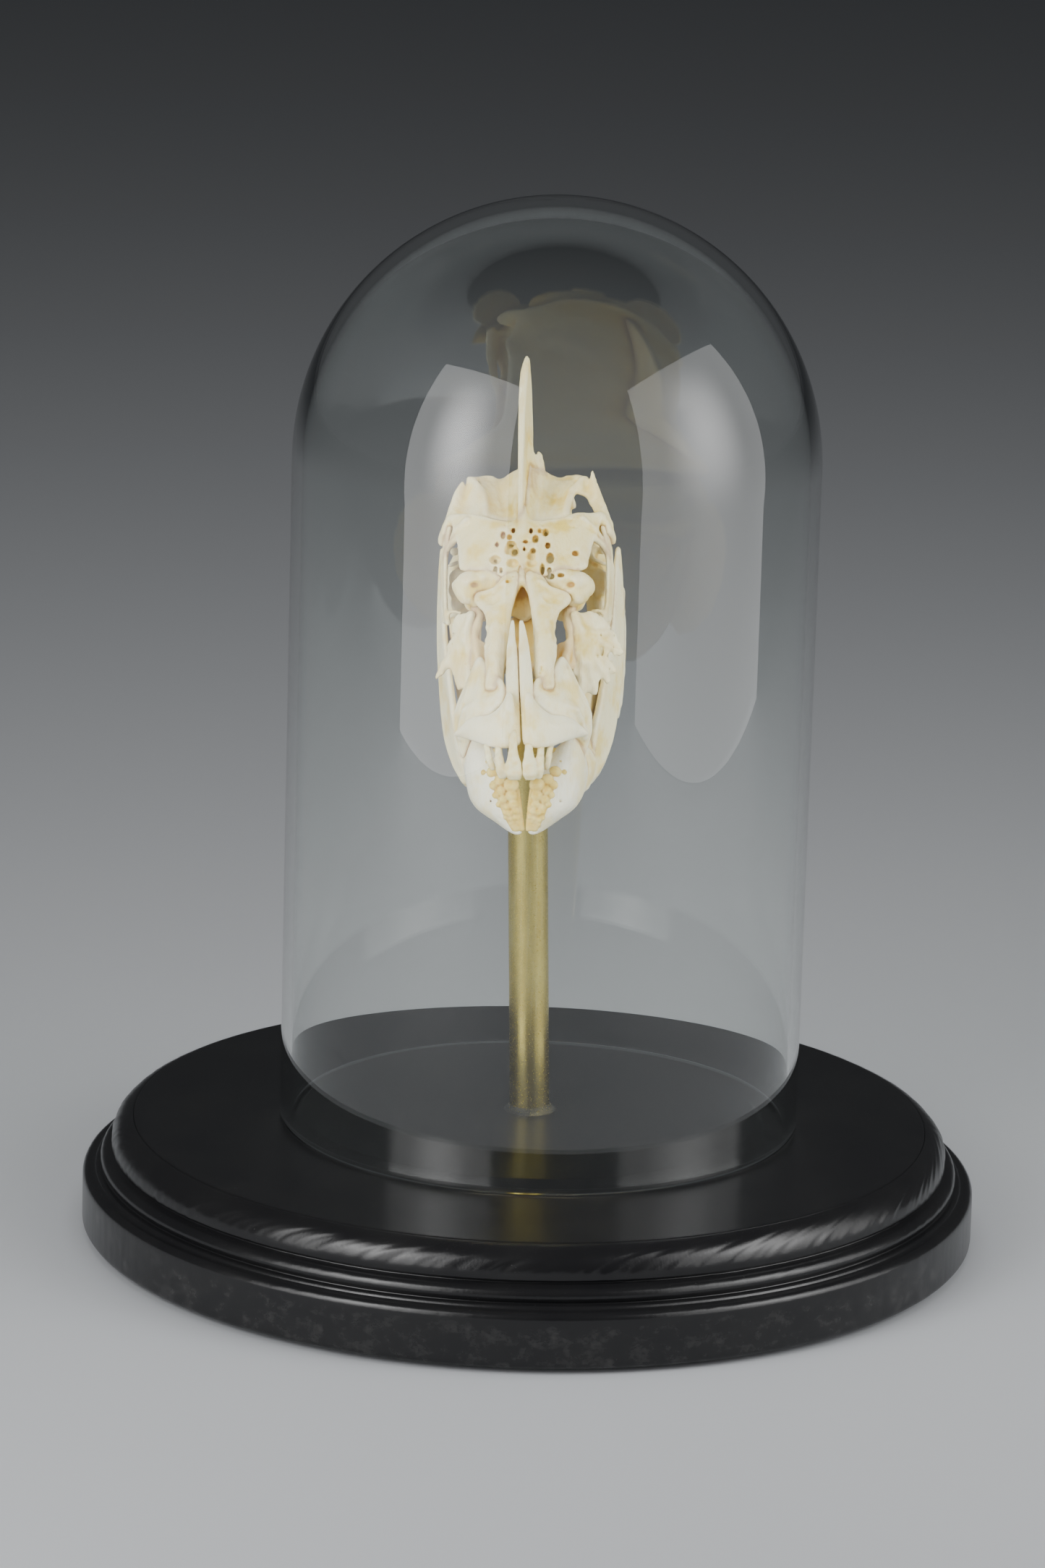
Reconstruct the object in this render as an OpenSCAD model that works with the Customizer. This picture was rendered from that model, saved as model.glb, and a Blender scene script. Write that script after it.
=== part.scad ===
// Glass bell jar with a turned wooden base, a brass post and a mounted fish skull.
// Millimetres, +Z up, origin at the middle of the underside.
// The skull looks along -Y. Left and right are the animal's own, so left is +X.

/* [Base] */
// Radius of the foot, the widest part of the base
foot_r = 103.3; // [97:0.1:112]
// Height of the deck that the glass stands on
deck_z = 26.4; // [26.4:0.1:40]
// Radius of the deck's edge
deck_r = 91.8; // [80:0.1:92]
// Radius of the raised boss inside the glass, at the deck
boss_r = 55; // [50:0.1:55.2]
// How far the boss's wall slopes in on its way up
boss_slope = 2.1; // [0:0.1:4]
// Height of the boss above the deck
boss_h = 2.1; // [1:0.1:6]
// Thickness of the felt under the base
felt_t = 1; // [0.5:0.1:1.6]

/* [Glass] */
// Outer radius of the dome
glass_r = 60; // [59:0.1:64]
// Wall thickness of the dome
glass_t = 2.5; // [2:0.1:3]
// Height of the straight wall, from the deck to the spring of the crown
wall_h = 155; // [150:1:200]
// How far the loose dome stands to the right of the boss's middle
dome_shift = 2; // [0:0.1:2.2]

/* [Post] */
// Radius of the brass rod
post_r = 4.6; // [4:0.1:5]
// Depth of the blind hole that holds the rod
socket_depth = 16; // [8:1:20]
// Lean of the hand-set post, towards -X, in degrees
post_lean = 1.9; // [0:0.1:3]

/* [Skull] */
// Height of the skull's origin above the boss, along the post
skull_height = 91.7; // [85:0.1:95]
// How far the face is tipped back, in degrees
face_tilt = 14.5; // [5:0.5:20]
// How far the face is turned towards -X, in degrees
face_turn = 3.5; // [0:0.5:6]

/* [Hidden] */

LEFT = 1;
RIGHT = -1;
BONE = "#e8dcb4";
PALE_BONE = "#eee8da";
TOOTH = "#e6d39a";
LACQUER = "#17181b";

boss_z = deck_z + boss_h;
seat_gap = 0.05;        // daylight between the glass and the deck
glue_gap = 0.1;         // film of glue round the post
skull_offset = -0.4;    // the skull's middle plane, measured from the post
jaw_offset = 0.8;       // the lower jaw, set over to the animal's left
crest_offset = -0.6;    // the crest, set over to the animal's right
post_above = 17;        // the post's end above the skull's origin
round_fn = 96;
bone_fn = 10;

// Points on an arc about a centre, from one angle to another
function arc(centre, r, from, to, steps) =
    [for (i = [0 : steps])
        centre + r * [cos(from + (to - from) * i / steps), sin(from + (to - from) * i / steps)]];

function mix(a, b, t) = a + (b - a) * t;

// ---- places ----------------------------------------------------------------

module on_post() {
    translate([0, 0, boss_z]) rotate([0, -post_lean, 0]) children();
}

module on_skull(side = LEFT) {
    on_post()
        translate([skull_offset, 0, skull_height])
            rotate([-face_tilt, 0, 0])
                rotate([0, 0, -face_turn])
                    mirror([side == RIGHT ? 1 : 0, 0, 0])
                        children();
}

// ---- shapes that repeat ----------------------------------------------------

module ball(at, r) {
    translate(at) sphere(r, $fn = bone_fn);
}

// One convex lump of bone round a few balls; each entry is [x, y, z, radius]
module lump(balls) {
    hull() for (b = balls) ball([b[0], b[1], b[2]], b[3]);
}

// A lump that spans the middle plane, given for one side
module paired_lump(balls) {
    lump([for (b = balls, s = [1, -1]) [s * b[0], b[1], b[2], b[3]]]);
}

// A bar of bone along a line of balls
module bar(balls) {
    for (i = [0 : len(balls) - 2]) lump([balls[i], balls[i + 1]]);
}

// A flat bone that stands front to back; its outline is in y and z
module upright_plate(x, thick, outline) {
    translate([x, 0, 0])
        rotate([90, 0, 90])
            linear_extrude(height = thick, center = true) polygon(outline);
}

// ---- fixture ---------------------------------------------------------------

module base() {
    foot_round = 1.7;
    bead = [97.6, 16.3] + [foot_r - 103.3, 0];
    cove = [deck_r + 5.6, 19.3];
    ovolo = [deck_r - 0.9, 22.3];
    outline = concat(
        [[0, felt_t], [foot_r - 1, felt_t], [foot_r, felt_t + 1]],
        arc([foot_r - foot_round, 13.9 - foot_round], foot_round, 0, 90, 5),
        [[foot_r - 2.7, 13.9], [foot_r - 2.9, 14.6], [bead[0] + 2.2, 14.6]],
        arc(bead, 1.75, -20, 90, 6),
        arc(cove, 1.6, 250, 180, 4),
        arc(ovolo, 4.1, -20, 70, 7),
        [[deck_r + 0.1, deck_z - 0.6], [deck_r, deck_z]],
        [[boss_r, deck_z], [boss_r - boss_slope, boss_z], [0, boss_z]]);
    color(LACQUER)
        difference() {
            rotate_extrude($fn = round_fn) polygon(outline);
            on_post()
                translate([0, 0, -socket_depth])
                    cylinder(h = socket_depth + 5, r = post_r + glue_gap, $fn = round_fn);
        }
}

module felt_pad() {
    color("#202024") cylinder(h = felt_t, r = foot_r - 4.3, $fn = round_fn);
}

module glass_dome() {
    inner_r = glass_r - glass_t;
    rim_r = glass_t / 2;
    rim_z = rim_r;
    color("#d8ecea", 0.3)
        translate([dome_shift, 0, deck_z + seat_gap])
            rotate_extrude($fn = 128)
                union() {
                    translate([inner_r, rim_z]) square([glass_t, wall_h - rim_z]);
                    translate([inner_r + rim_r, rim_z]) circle(rim_r, $fn = 32);
                    translate([0, wall_h])
                        intersection() {
                            difference() {
                                circle(glass_r, $fn = 128);
                                circle(inner_r, $fn = 128);
                            }
                            square(glass_r);
                        }
                }
}

module brass_post() {
    length = socket_depth + skull_height + post_above;
    color("#b5a158")
        on_post()
            translate([0, 0, 0.2 - socket_depth])
                cylinder(h = length, r = post_r, $fn = round_fn);
}

module glue_fillet() {
    spread = 1.7;
    color("#c9cdd0", 0.6)
        on_post()
            translate([0, 0, 0.25])
                difference() {
                    cylinder(h = 1, r1 = post_r + spread, r2 = post_r + 0.35, $fn = round_fn);
                    translate([0, 0, -1]) cylinder(h = 3, r = post_r + 0.02, $fn = round_fn);
                }
}

module mount_putty() {
    overlap = 5;
    cap = 5.5;
    top = skull_height + post_above + 0.2;
    color("#cfc4a0")
        on_post()
            translate([0, 0, top - overlap])
                difference() {
                    cylinder(h = overlap + cap, r1 = post_r + 1, r2 = post_r + 1.8, $fn = 48);
                    translate([0, 0, -1])
                        cylinder(h = overlap + 1, r = post_r + 0.02, $fn = 48);
                }
}

// ---- skull: middle bones ---------------------------------------------------

module cranium() {
    color(PALE_BONE) on_skull() {
        paired_lump([[17, -7, 46.2, 1.3], [13.4, -17, 36, 1.3],
                     [12.5, -3, 47.6, 1.3], [8, -9, 38, 1.3]]);
        paired_lump([[13, 11, 54.8, 1.8], [9, 22, 48, 2.4], [6.5, 23, 34, 2.4],
                     [7.5, -6, 38.5, 2.2], [12, -4, 46, 1.8]]);
        for (s = [1, -1])
            bar([[s * 16.8, -6, 46, 1.2], [s * 19.6, 2, 45.4, 1.1], [s * 14.9, 7, 58, 0.6]]);
    }
}

module supraoccipital_crest() {
    color(BONE) on_skull()
        upright_plate(crest_offset, 1.6, [[-16, 39.5], [-13.5, 48], [-11, 62], [-8, 74], [-4, 81.5],
            [-1.5, 84.2], [1.5, 82], [4, 75], [8, 66], [14, 58], [20, 52], [16, 46]]);
}

module mesethmoid() {
    color(BONE) on_skull()
        paired_lump([[4.4, -16.6, 34.6, 1], [3, -13, 26, 1], [1, -7, 24.4, 1], [4, -9, 35, 1]]);
}

module vomer() {
    color(BONE) on_skull()
        lump([[0, -13, 22.6, 1.8], [2.2, -20, 13, 1.3], [-2.2, -20, 13, 1.3]]);
}

module parasphenoid() {
    color(BONE) on_skull() bar([[0, -11.5, 22.8, 1.4], [0, 7, 23.5, 1.4], [0, 22, 31, 1.8]]);
}

// ---- skull: bones in pairs -------------------------------------------------

module lateral_ethmoid(side) {
    color(BONE) on_skull(side)
        lump([[8, -17.2, 33.2, 2], [12.8, -18, 31.6, 3.2], [12.2, -17, 28.6, 2.4]]);
}

module nasal(side) {
    color(BONE) on_skull(side) {
        lump([[4.4, -19, 32.4, 1.7], [6.2, -19.4, 30.6, 1.6], [5, -24, 22, 1.8]]);
        lump([[5, -24, 22, 1.8], [5.2, -28.3, 9.8, 1.7], [6.4, -27.7, 10, 1.4]]);
    }
}

module lacrimal(side) {
    outline = [[-5.5, 8.5], [-3, 5.5], [-1, 9], [3, 7.5], [6.5, 5], [7.8, -1], [5.2, -3.5],
        [6, -8], [3, -5.5], [1, -9], [-1, -4.5], [-4.5, -4], [-6.5, -0.5], [-5, 3]];
    color(BONE) on_skull(side)
        translate([14.8, -15.8, 17])
            rotate([90, 0, 38])
                linear_extrude(height = 1.1, center = true) polygon(outline);
}

module infraorbital(side) {
    color(BONE) on_skull(side)
        bar([[17.8, -6.8, 44.4, 0.9], [19, -6, 34, 0.8], [19.2, -10.6, 22.8, 1]]);
}

module premaxilla(side) {
    color(PALE_BONE) on_skull(side) {
        bar([[1, -27.5, 23.4, 0.8], [1.3, -32, 10, 1.2], [1.7, -35.5, -1, 1.4]]);
        lump([[2, -35.4, 3.4, 1.2], [2, -36.8, -4.4, 1.6], [8, -34, -3.6, 1.4], [7.6, -33.4, 0.6, 1.1]]);
        lump([[7.6, -33.4, 0.6, 1.1], [8, -34, -3.6, 1.4], [15, -25.5, -2.4, 0.9]]);
    }
}

// Three front teeth a side; each row is neck x, y, z, radius and tip x, y, z, radius
module upper_teeth(side) {
    teeth = [[1.7, -37.2, -5.4, 0.95, 1.75, -38.6, -11.4, 1.35],
             [4.6, -36.9, -5.2, 0.85, 4.5, -37.6, -11.2, 1.0],
             [7.1, -35.9, -4.8, 0.8, 6.8, -36.4, -9.8, 0.85]];
    color(TOOTH) on_skull(side)
        for (t = teeth) lump([[t[0], t[1], t[2], t[3]], [t[4], t[5], t[6], t[7]]]);
}

module maxilla(side) {
    color(PALE_BONE) on_skull(side) {
        lump([[3.2, -31.8, 6.4, 1.1], [8, -30, 3.4, 1.2], [10.6, -26.6, 13, 1.3]]);
        lump([[8, -30, 3.4, 1.2], [10.6, -26.6, 13, 1.3], [14.9, -21.8, 0.6, 1.3]]);
        lump([[14.9, -21.8, 0.6, 1.3], [14.8, -20, -6.8, 0.9]]);
    }
}

module palatine(side) {
    color(BONE) on_skull(side) bar([[10.6, -16.4, 25.4, 1.5], [9.6, -20.8, 17.4, 1.2], [9.6, -24.6, 12.4, 1.2]]);
}

module pterygoid(side) {
    color(BONE) on_skull(side)
        lump([[10.2, -15.9, 21.2, 0.8], [12.5, -10, 9, 0.8], [16.2, -1, 1, 0.8], [15.2, 3, 12, 0.8]]);
}

module quadrate(side) {
    color(BONE) on_skull(side)
        lump([[15.3, -4.4, -6.2, 1.5], [15.8, -1.4, -0.6, 1.1], [17.4, 5, 1.8, 1.2]]);
}

module hyomandibula(side) {
    color(BONE) on_skull(side) {
        lump([[14.6, 4.5, 42.4, 1.2], [13, 15, 43, 1.4], [17.4, 10, 30, 1.2]]);
        bar([[17.4, 10, 30, 1.2], [18.2, 9.4, 18, 1.2], [17.4, 5, 4, 1.1]]);
    }
}

module preopercle(side) {
    color(PALE_BONE) on_skull(side)
        bar([[20.9, 13, 40.4, 0.6], [20.6, 13, 31, 1.1], [20.2, 11.5, 17, 1.5], [18.9, 7, 3, 1.8],
             [17, 3, -6, 1.6], [14.9, -1, -12, 1.3]]);
}

module opercle(side) {
    outline = [[14.8, 34.6], [21, 37], [27, 33.5], [31, 25], [30, 14], [24, 5.5], [18, 1],
        [12, 4], [14.4, 20]];
    color(PALE_BONE) on_skull(side)
        translate([20.6, 0, 0]) rotate([0, 0, 5]) upright_plate(0, 0.9, outline);
}

// ---- skull: lower jaw ------------------------------------------------------

module on_jaw(side) {
    on_skull(side) translate([side * jaw_offset, 0, 0]) children();
}

module articular(side) {
    color(PALE_BONE) on_jaw(side)
        lump([[12.6, -10.4, -6.6, 1.2], [15, -6, -8.2, 1.5], [13.2, -5.6, -13.2, 1.2], [11.2, -12, -14.8, 1]]);
}

module dentary(side) {
    color(PALE_BONE) on_jaw(side) {
        lump([[1.9, -28.5, -24.6, 1.3], [3.9, -28.5, -14.2, 1.3], [7.8, -24.5, -13.4, 1.3],
              [6.8, -23, -20.6, 1.5]]);
        lump([[7.8, -24.5, -13.4, 1.3], [6.8, -23, -20.6, 1.5], [10.8, -15, -6, 1.1],
              [10.6, -14, -14.4, 1.4]]);
    }
}

// Three rows of round grinding teeth, largest near the corner of the mouth
module lower_teeth(side) {
    rows = [[[3.4, -30.2, -13.6], [1.4, -30.4, -24], 7, 1.15, 0.5],
            [[5.7, -29, -13], [2.8, -30, -24], 7, 1.0, 0.45],
            [[7.7, -25.8, -12.2], [4.6, -28.6, -20.6], 6, 0.9, 0.5]];
    color(TOOTH) on_jaw(side)
        for (row = rows, i = [0 : row[2] - 1]) {
            t = i / (row[2] - 1);
            translate(mix(row[0], row[1], t * (1.25 - 0.25 * t)))
                sphere(mix(row[3], row[4], t) * 0.9, $fn = 16);
        }
}

base();
felt_pad();
glass_dome();
brass_post();
glue_fillet();
mount_putty();
cranium();
supraoccipital_crest();
mesethmoid();
vomer();
parasphenoid();
lateral_ethmoid(LEFT);  // lateral_ethmoid_left
lateral_ethmoid(RIGHT);  // lateral_ethmoid_right
nasal(LEFT);  // nasal_left
nasal(RIGHT);  // nasal_right
lacrimal(LEFT);  // lacrimal_left
lacrimal(RIGHT);  // lacrimal_right
infraorbital(LEFT);  // infraorbital_left
infraorbital(RIGHT);  // infraorbital_right
premaxilla(LEFT);  // premaxilla_left
premaxilla(RIGHT);  // premaxilla_right
upper_teeth(LEFT);  // upper_teeth_left
upper_teeth(RIGHT);  // upper_teeth_right
maxilla(LEFT);  // maxilla_left
maxilla(RIGHT);  // maxilla_right
palatine(LEFT);  // palatine_left
palatine(RIGHT);  // palatine_right
pterygoid(LEFT);  // pterygoid_left
pterygoid(RIGHT);  // pterygoid_right
quadrate(LEFT);  // quadrate_left
quadrate(RIGHT);  // quadrate_right
hyomandibula(LEFT);  // hyomandibula_left
hyomandibula(RIGHT);  // hyomandibula_right
preopercle(LEFT);  // preopercle_left
preopercle(RIGHT);  // preopercle_right
opercle(LEFT);  // opercle_left
opercle(RIGHT);  // opercle_right
articular(LEFT);  // articular_left
articular(RIGHT);  // articular_right
dentary(LEFT);  // dentary_left
dentary(RIGHT);  // dentary_right
lower_teeth(LEFT);  // lower_teeth_left
lower_teeth(RIGHT);  // lower_teeth_right
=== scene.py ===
"""Looks for the bell jar: turned base, glass, brass post and the mounted fish skull.

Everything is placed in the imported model's frame. The bones are built in the skull's own millimetres
(x to the animal's left, y away from the viewer, z up the face) and set in the frame by SKULL.
"""
import math

import bmesh
import bpy
import numpy as np
import openvdb
from mathutils import Matrix, Vector


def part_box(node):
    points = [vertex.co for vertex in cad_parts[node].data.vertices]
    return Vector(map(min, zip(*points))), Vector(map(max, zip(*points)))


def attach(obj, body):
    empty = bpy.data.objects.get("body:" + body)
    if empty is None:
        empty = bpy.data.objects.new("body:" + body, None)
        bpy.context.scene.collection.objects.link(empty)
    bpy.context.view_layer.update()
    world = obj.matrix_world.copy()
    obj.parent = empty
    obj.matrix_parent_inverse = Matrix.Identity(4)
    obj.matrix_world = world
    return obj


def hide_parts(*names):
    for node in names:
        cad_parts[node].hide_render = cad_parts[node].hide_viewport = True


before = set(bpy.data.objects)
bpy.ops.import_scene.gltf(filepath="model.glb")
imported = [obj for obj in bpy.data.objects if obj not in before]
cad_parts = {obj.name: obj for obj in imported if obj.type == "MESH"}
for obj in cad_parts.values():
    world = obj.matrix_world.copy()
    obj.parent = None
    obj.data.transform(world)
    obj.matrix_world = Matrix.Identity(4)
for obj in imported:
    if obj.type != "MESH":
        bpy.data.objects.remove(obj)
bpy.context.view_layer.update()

MM = 0.001
STAND, DOME = "stand", "dome"
SIDES = (("left", 1), ("right", -1))

# ---- places, from the frame ---------------------------------------------------

BASE_LOW, BASE_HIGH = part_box("base")
GLASS_LOW, GLASS_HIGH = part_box("glass_dome")
FELT_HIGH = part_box("felt_pad")[1]

FOOT_R = BASE_HIGH.x
BOSS_Z = BASE_HIGH.z
BOSS_H = 2.1 * MM
DECK_Z = BOSS_Z - BOSS_H
DECK_R = 91.8 * MM
BOSS_R = 55 * MM
BOSS_SLOPE = 2.1 * MM
POST_R = 4.6 * MM
POST_LEAN = math.radians(1.9)
POST_SUNK = 12  # how far the rod goes down into the boss, in mm
POST_IN_SKULL = 17  # how far it goes up into the putty, in mm
SKULL_UP = 91.7  # the skull's origin above the boss, in mm

GLASS_R = (GLASS_HIGH.x - GLASS_LOW.x) / 2
GLASS_T = 2.5 * MM
GLASS_X = (GLASS_HIGH.x + GLASS_LOW.x) / 2

# The post's frame, and the skull's frame on it
ON_POST = Matrix.Translation((0, 0, BOSS_Z)) @ Matrix.Rotation(-POST_LEAN, 4, "Y")
SKULL = (
    ON_POST
    @ Matrix.Translation((0.4 * MM, 0, SKULL_UP * MM))
    @ Matrix.Rotation(math.radians(-14.5), 4, "X")
    @ Matrix.Rotation(math.radians(-3.5), 4, "Z")
    @ Matrix.Scale(MM, 4)
)

# ---- materials by nodes ----------------------------------------------------------


class Nodes:
    """Short calls for building the nodes of a material or a light; lengths are millimetres."""

    def __init__(self, name, light=None):
        self.material = light or bpy.data.materials.new(name)
        self.material.use_nodes = True
        self.tree = self.material.node_tree
        self.shader = self.tree.nodes["Emission" if light else "Principled BSDF"]
        if not light:
            place = self.tree.nodes.new("ShaderNodeTexCoord").outputs["Object"]
            self.place = self.math3("MULTIPLY", place, (1000, 1000, 1000))

    def parametric(self):
        """How far across and along a panel of light a point is, from 0 to 1."""
        node = self.tree.nodes.new("ShaderNodeSeparateXYZ")
        geometry = self.tree.nodes.new("ShaderNodeNewGeometry")
        self.tree.links.new(geometry.outputs["Parametric"], node.inputs[0])
        return node.outputs["X"], node.outputs["Y"]

    def link(self, value, socket):
        """Links a socket to another, or sets it to a constant."""
        if hasattr(value, "links") or hasattr(value, "is_output"):
            self.tree.links.new(value, socket)
        else:
            socket.default_value = value

    def math3(self, operation, value, by):
        node = self.tree.nodes.new("ShaderNodeVectorMath")
        node.operation = operation
        self.link(value, node.inputs[0])
        self.link(by, node.inputs[1])
        return node.outputs[0]

    def math(self, operation, a, b=0.0):
        node = self.tree.nodes.new("ShaderNodeMath")
        node.operation = operation
        self.link(a, node.inputs[0])
        self.link(b, node.inputs[1])
        return node.outputs[0]

    def noise(self, size, detail=3, stretch=(1, 1, 1), rough=0.5):
        """Noise with features of the given size in mm."""
        node = self.tree.nodes.new("ShaderNodeTexNoise")
        node.inputs["Scale"].default_value = 1
        node.inputs["Detail"].default_value = detail
        node.inputs["Roughness"].default_value = rough
        scale = tuple(1 / (size * s) for s in stretch)
        self.tree.links.new(self.math3("MULTIPLY", self.place, scale), node.inputs["Vector"])
        return node.outputs["Fac"]

    def height(self):
        """How high the place is, in mm."""
        node = self.tree.nodes.new("ShaderNodeSeparateXYZ")
        self.link(self.place, node.inputs[0])
        return node.outputs["Z"]

    def attribute(self, name):
        """A value that the mesh holds at each point."""
        node = self.tree.nodes.new("ShaderNodeAttribute")
        node.attribute_name = name
        return node.outputs["Fac"]

    def steps(self, value, low, high, to_low=0.0, to_high=1.0):
        """The value from low to high, turned smoothly into the value from to_low to to_high."""
        node = self.tree.nodes.new("ShaderNodeMapRange")
        node.interpolation_type = "SMOOTHSTEP"
        for key, number in zip(("From Min", "From Max", "To Min", "To Max"), (low, high, to_low, to_high)):
            node.inputs[key].default_value = number
        self.link(value, node.inputs["Value"])
        return node.outputs["Result"]

    def mix(self, share, a, b):
        node = self.tree.nodes.new("ShaderNodeMix")
        node.data_type = "RGBA"
        self.link(share, node.inputs["Factor"])
        colours = [s for s in node.inputs if s.type == "RGBA"]
        self.link(a, colours[0])
        self.link(b, colours[1])
        return [s for s in node.outputs if s.type == "RGBA"][0]

    def bump(self, height, distance, strength=1.0, normal=None):
        """A bump of the given depth in mm."""
        node = self.tree.nodes.new("ShaderNodeBump")
        node.inputs["Distance"].default_value = distance * MM
        node.inputs["Strength"].default_value = strength
        self.link(height, node.inputs["Height"])
        if normal is not None:
            self.link(normal, node.inputs["Normal"])
        return node.outputs["Normal"]

    def set(self, **sockets):
        """Links or sets the shader's sockets; an underscore stands for a space."""
        for name, value in sockets.items():
            self.link(value, self.shader.inputs[name.replace("_", " ")])
        return self


# ---- camera, stage and light ---------------------------------------------------


def make_camera():
    """The photo's view: from in front and above, at 1.45 m, with a long lens."""
    elevation = math.radians(14.45)
    distance, height, sideways = 1.45, 0.1059, -3.75 * MM
    roll = math.radians(1.62)
    back = Vector((0, -math.cos(elevation), math.sin(elevation)))
    camera = bpy.data.objects.new("camera", bpy.data.cameras.new("camera"))
    bpy.context.scene.collection.objects.link(camera)
    camera.data.sensor_width = 36
    camera.data.lens = 145.4
    camera.data.clip_start, camera.data.clip_end = 0.05, 20
    look = (-back).to_track_quat("-Z", "Y") @ Matrix.Rotation(roll, 3, "Z").to_quaternion()
    camera.rotation_mode = "QUATERNION"
    camera.rotation_quaternion = look
    camera.location = Vector((sideways, 0, height)) + back * distance
    bpy.context.scene.camera = camera


def make_stage():
    """A plain pale floor, round and wide enough to fill the view from any side."""
    radius, sides, drop = 20.0, 96, 0.2 * MM
    turns = [2 * math.pi * i / sides for i in range(sides)]
    mesh = bpy.data.meshes.new("floor")
    rim = [(radius * math.cos(t), radius * math.sin(t), -drop) for t in turns]
    mesh.from_pydata(rim, [], [range(sides)])
    floor = bpy.data.objects.new("floor", mesh)
    bpy.context.scene.collection.objects.link(floor)
    paper = Nodes("pale_paper").set(Base_Color=(0.36, 0.37, 0.385, 1), Roughness=0.9)
    mesh.materials.append(paper.material)


def soft_box(name, place, aim, size, radiance, glow=0.0):
    """A panel of light. With a glow its middle is brighter and it shows in gloss.

    It never shows to the camera itself, or through the glass.
    """
    light = bpy.data.lights.new(name, "AREA")
    light.shape = "RECTANGLE"
    light.size, light.size_y = size
    light.energy = radiance * math.pi * size[0] * size[1]
    lamp = bpy.data.objects.new(name, light)
    lamp.location = place
    lamp.rotation_mode = "QUATERNION"
    lamp.rotation_quaternion = (Vector(aim) - Vector(place)).to_track_quat("-Z", "Y")
    lamp.visible_camera = lamp.visible_transmission = False
    lamp.visible_glossy = glow > 0
    bpy.context.scene.collection.objects.link(lamp)
    if glow > 0:
        n = Nodes(name, light)
        across, along = n.parametric()
        edge, reach_across, reach_along = 0.55, 0.34, 0.5
        near = [n.steps(n.math("ABSOLUTE", n.math("SUBTRACT", v, 0.5)), reach, 0)
                for v, reach in ((across, reach_across), (along, reach_along))]
        middle = n.math("MULTIPLY", n.math("MULTIPLY", *near), glow)
        n.link(n.math("ADD", edge, middle), n.shader.inputs["Strength"])


def around(degrees, distance, height):
    """A place at an angle round the part, from the viewer's side, positive to the right."""
    angle = math.radians(degrees)
    return (distance * math.sin(angle), -distance * math.cos(angle), height)


# The tall panels: name, degrees round from the viewer, width, radiance
PANELS = (("panel_left", -42, 0.44, 6.6), ("panel_right", 66, 0.62, 4.6))
PANEL_AWAY, PANEL_MIDDLE, PANEL_TALL, PANEL_GLOW = 0.52, 0.33, 0.66, 1.6


def make_light():
    """A tall panel on each side in front, a weaker one above, and a dim grey world."""
    for name, degrees, width, radiance in PANELS:
        place = around(degrees, PANEL_AWAY, PANEL_MIDDLE)
        soft_box(name, place, (0, 0, PANEL_MIDDLE), (width, PANEL_TALL), radiance, PANEL_GLOW)
    soft_box("panel_top", (0, -0.1, 1.2), (0, 0, 0.1), (0.8, 0.8), 3.0)
    world = bpy.data.worlds.new("studio")
    bpy.context.scene.world = world
    world.use_nodes = True
    background = world.node_tree.nodes["Background"]
    background.inputs["Color"].default_value = (0.75, 0.78, 0.82, 1)
    background.inputs["Strength"].default_value = 0.07


# ---- solids built from distances -------------------------------------------------

FAR = 3.0  # the largest distance that the grids hold
HOLLOW_PASSES, HOLLOW_DEPTH = 10, 0.4  # how wide and deep a hollow counts as full
SEAM_REACH = 1.7  # how near another bone has to be to stain the joint and paint the shadow in it


def smooth_min(a, b, blend):
    """The smaller of two distances, rounded over where they are within the blend."""
    overlap = np.maximum(blend - np.abs(a - b), 0) / blend
    return np.minimum(a, b) - overlap * overlap * blend / 4


def to_line(points, a, b):
    """Distance to a tapered round bar between the balls a and b, each x, y, z, radius."""
    start, along = np.array(a[:3]), np.array(b[:3]) - np.array(a[:3])
    offset = points - start
    t = np.clip(offset @ along / max(along @ along, 1e-9), 0, 1)
    gap = offset - t[..., None] * along
    return np.sqrt((gap * gap).sum(-1)) - (a[3] + t * (b[3] - a[3]))


def to_triangle(points, a, b, c):
    """Distance to a sheet with round edges, whose half thickness is each corner's fourth number."""
    pa, pb, pc = (np.array(q[:3]) for q in (a, b, c))
    normal = np.cross(pb - pa, pc - pa)
    area = normal @ normal
    if area < 1e-9:
        return to_line(points, a, b)
    share_a = (points - pb) @ np.cross(normal, pc - pb) / area
    share_b = (points - pc) @ np.cross(normal, pa - pc) / area
    share_c = 1 - share_a - share_b
    inside = (share_a >= 0) & (share_b >= 0) & (share_c >= 0)
    flat = np.abs((points - pa) @ normal) / math.sqrt(area)
    flat -= share_a * a[3] + share_b * b[3] + share_c * c[3]
    edges = np.minimum(to_line(points, a, b), np.minimum(to_line(points, b, c), to_line(points, c, a)))
    return np.where(inside, np.minimum(flat, edges), edges)


def curved(line):
    """The line of balls with one more ball in each gap, on a smooth curve through them all."""
    line = [tuple(map(float, ball)) for ball in line]
    out = []
    for i in range(len(line) - 1):
        before, a, b, after = line[max(i - 1, 0)], line[i], line[i + 1], line[min(i + 2, len(line) - 1)]
        out += [a, tuple((9 * (p + q) - o - r) / 16 for o, p, q, r in zip(before, a, b, after))]
    return out + [line[-1]]


def value_noise(points, size, seed):
    """Smooth noise from -1 to 1 with features of the given size along x, y and z."""
    side = 24
    table = np.random.default_rng(seed).uniform(-1, 1, (side, side, side)).astype(np.float32)
    scaled = points / np.array(size, np.float32) + 100.5
    cell = np.floor(scaled).astype(int)
    part = scaled - cell
    part = part * part * (3 - 2 * part)
    total = 0
    for corner in range(8):
        step = np.array([corner & 1, corner >> 1 & 1, corner >> 2 & 1])
        weight = np.prod(np.where(step, part, 1 - part), axis=-1)
        index = (cell + step) % side
        total = total + weight * table[index[..., 0], index[..., 1], index[..., 2]]
    return total


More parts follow.
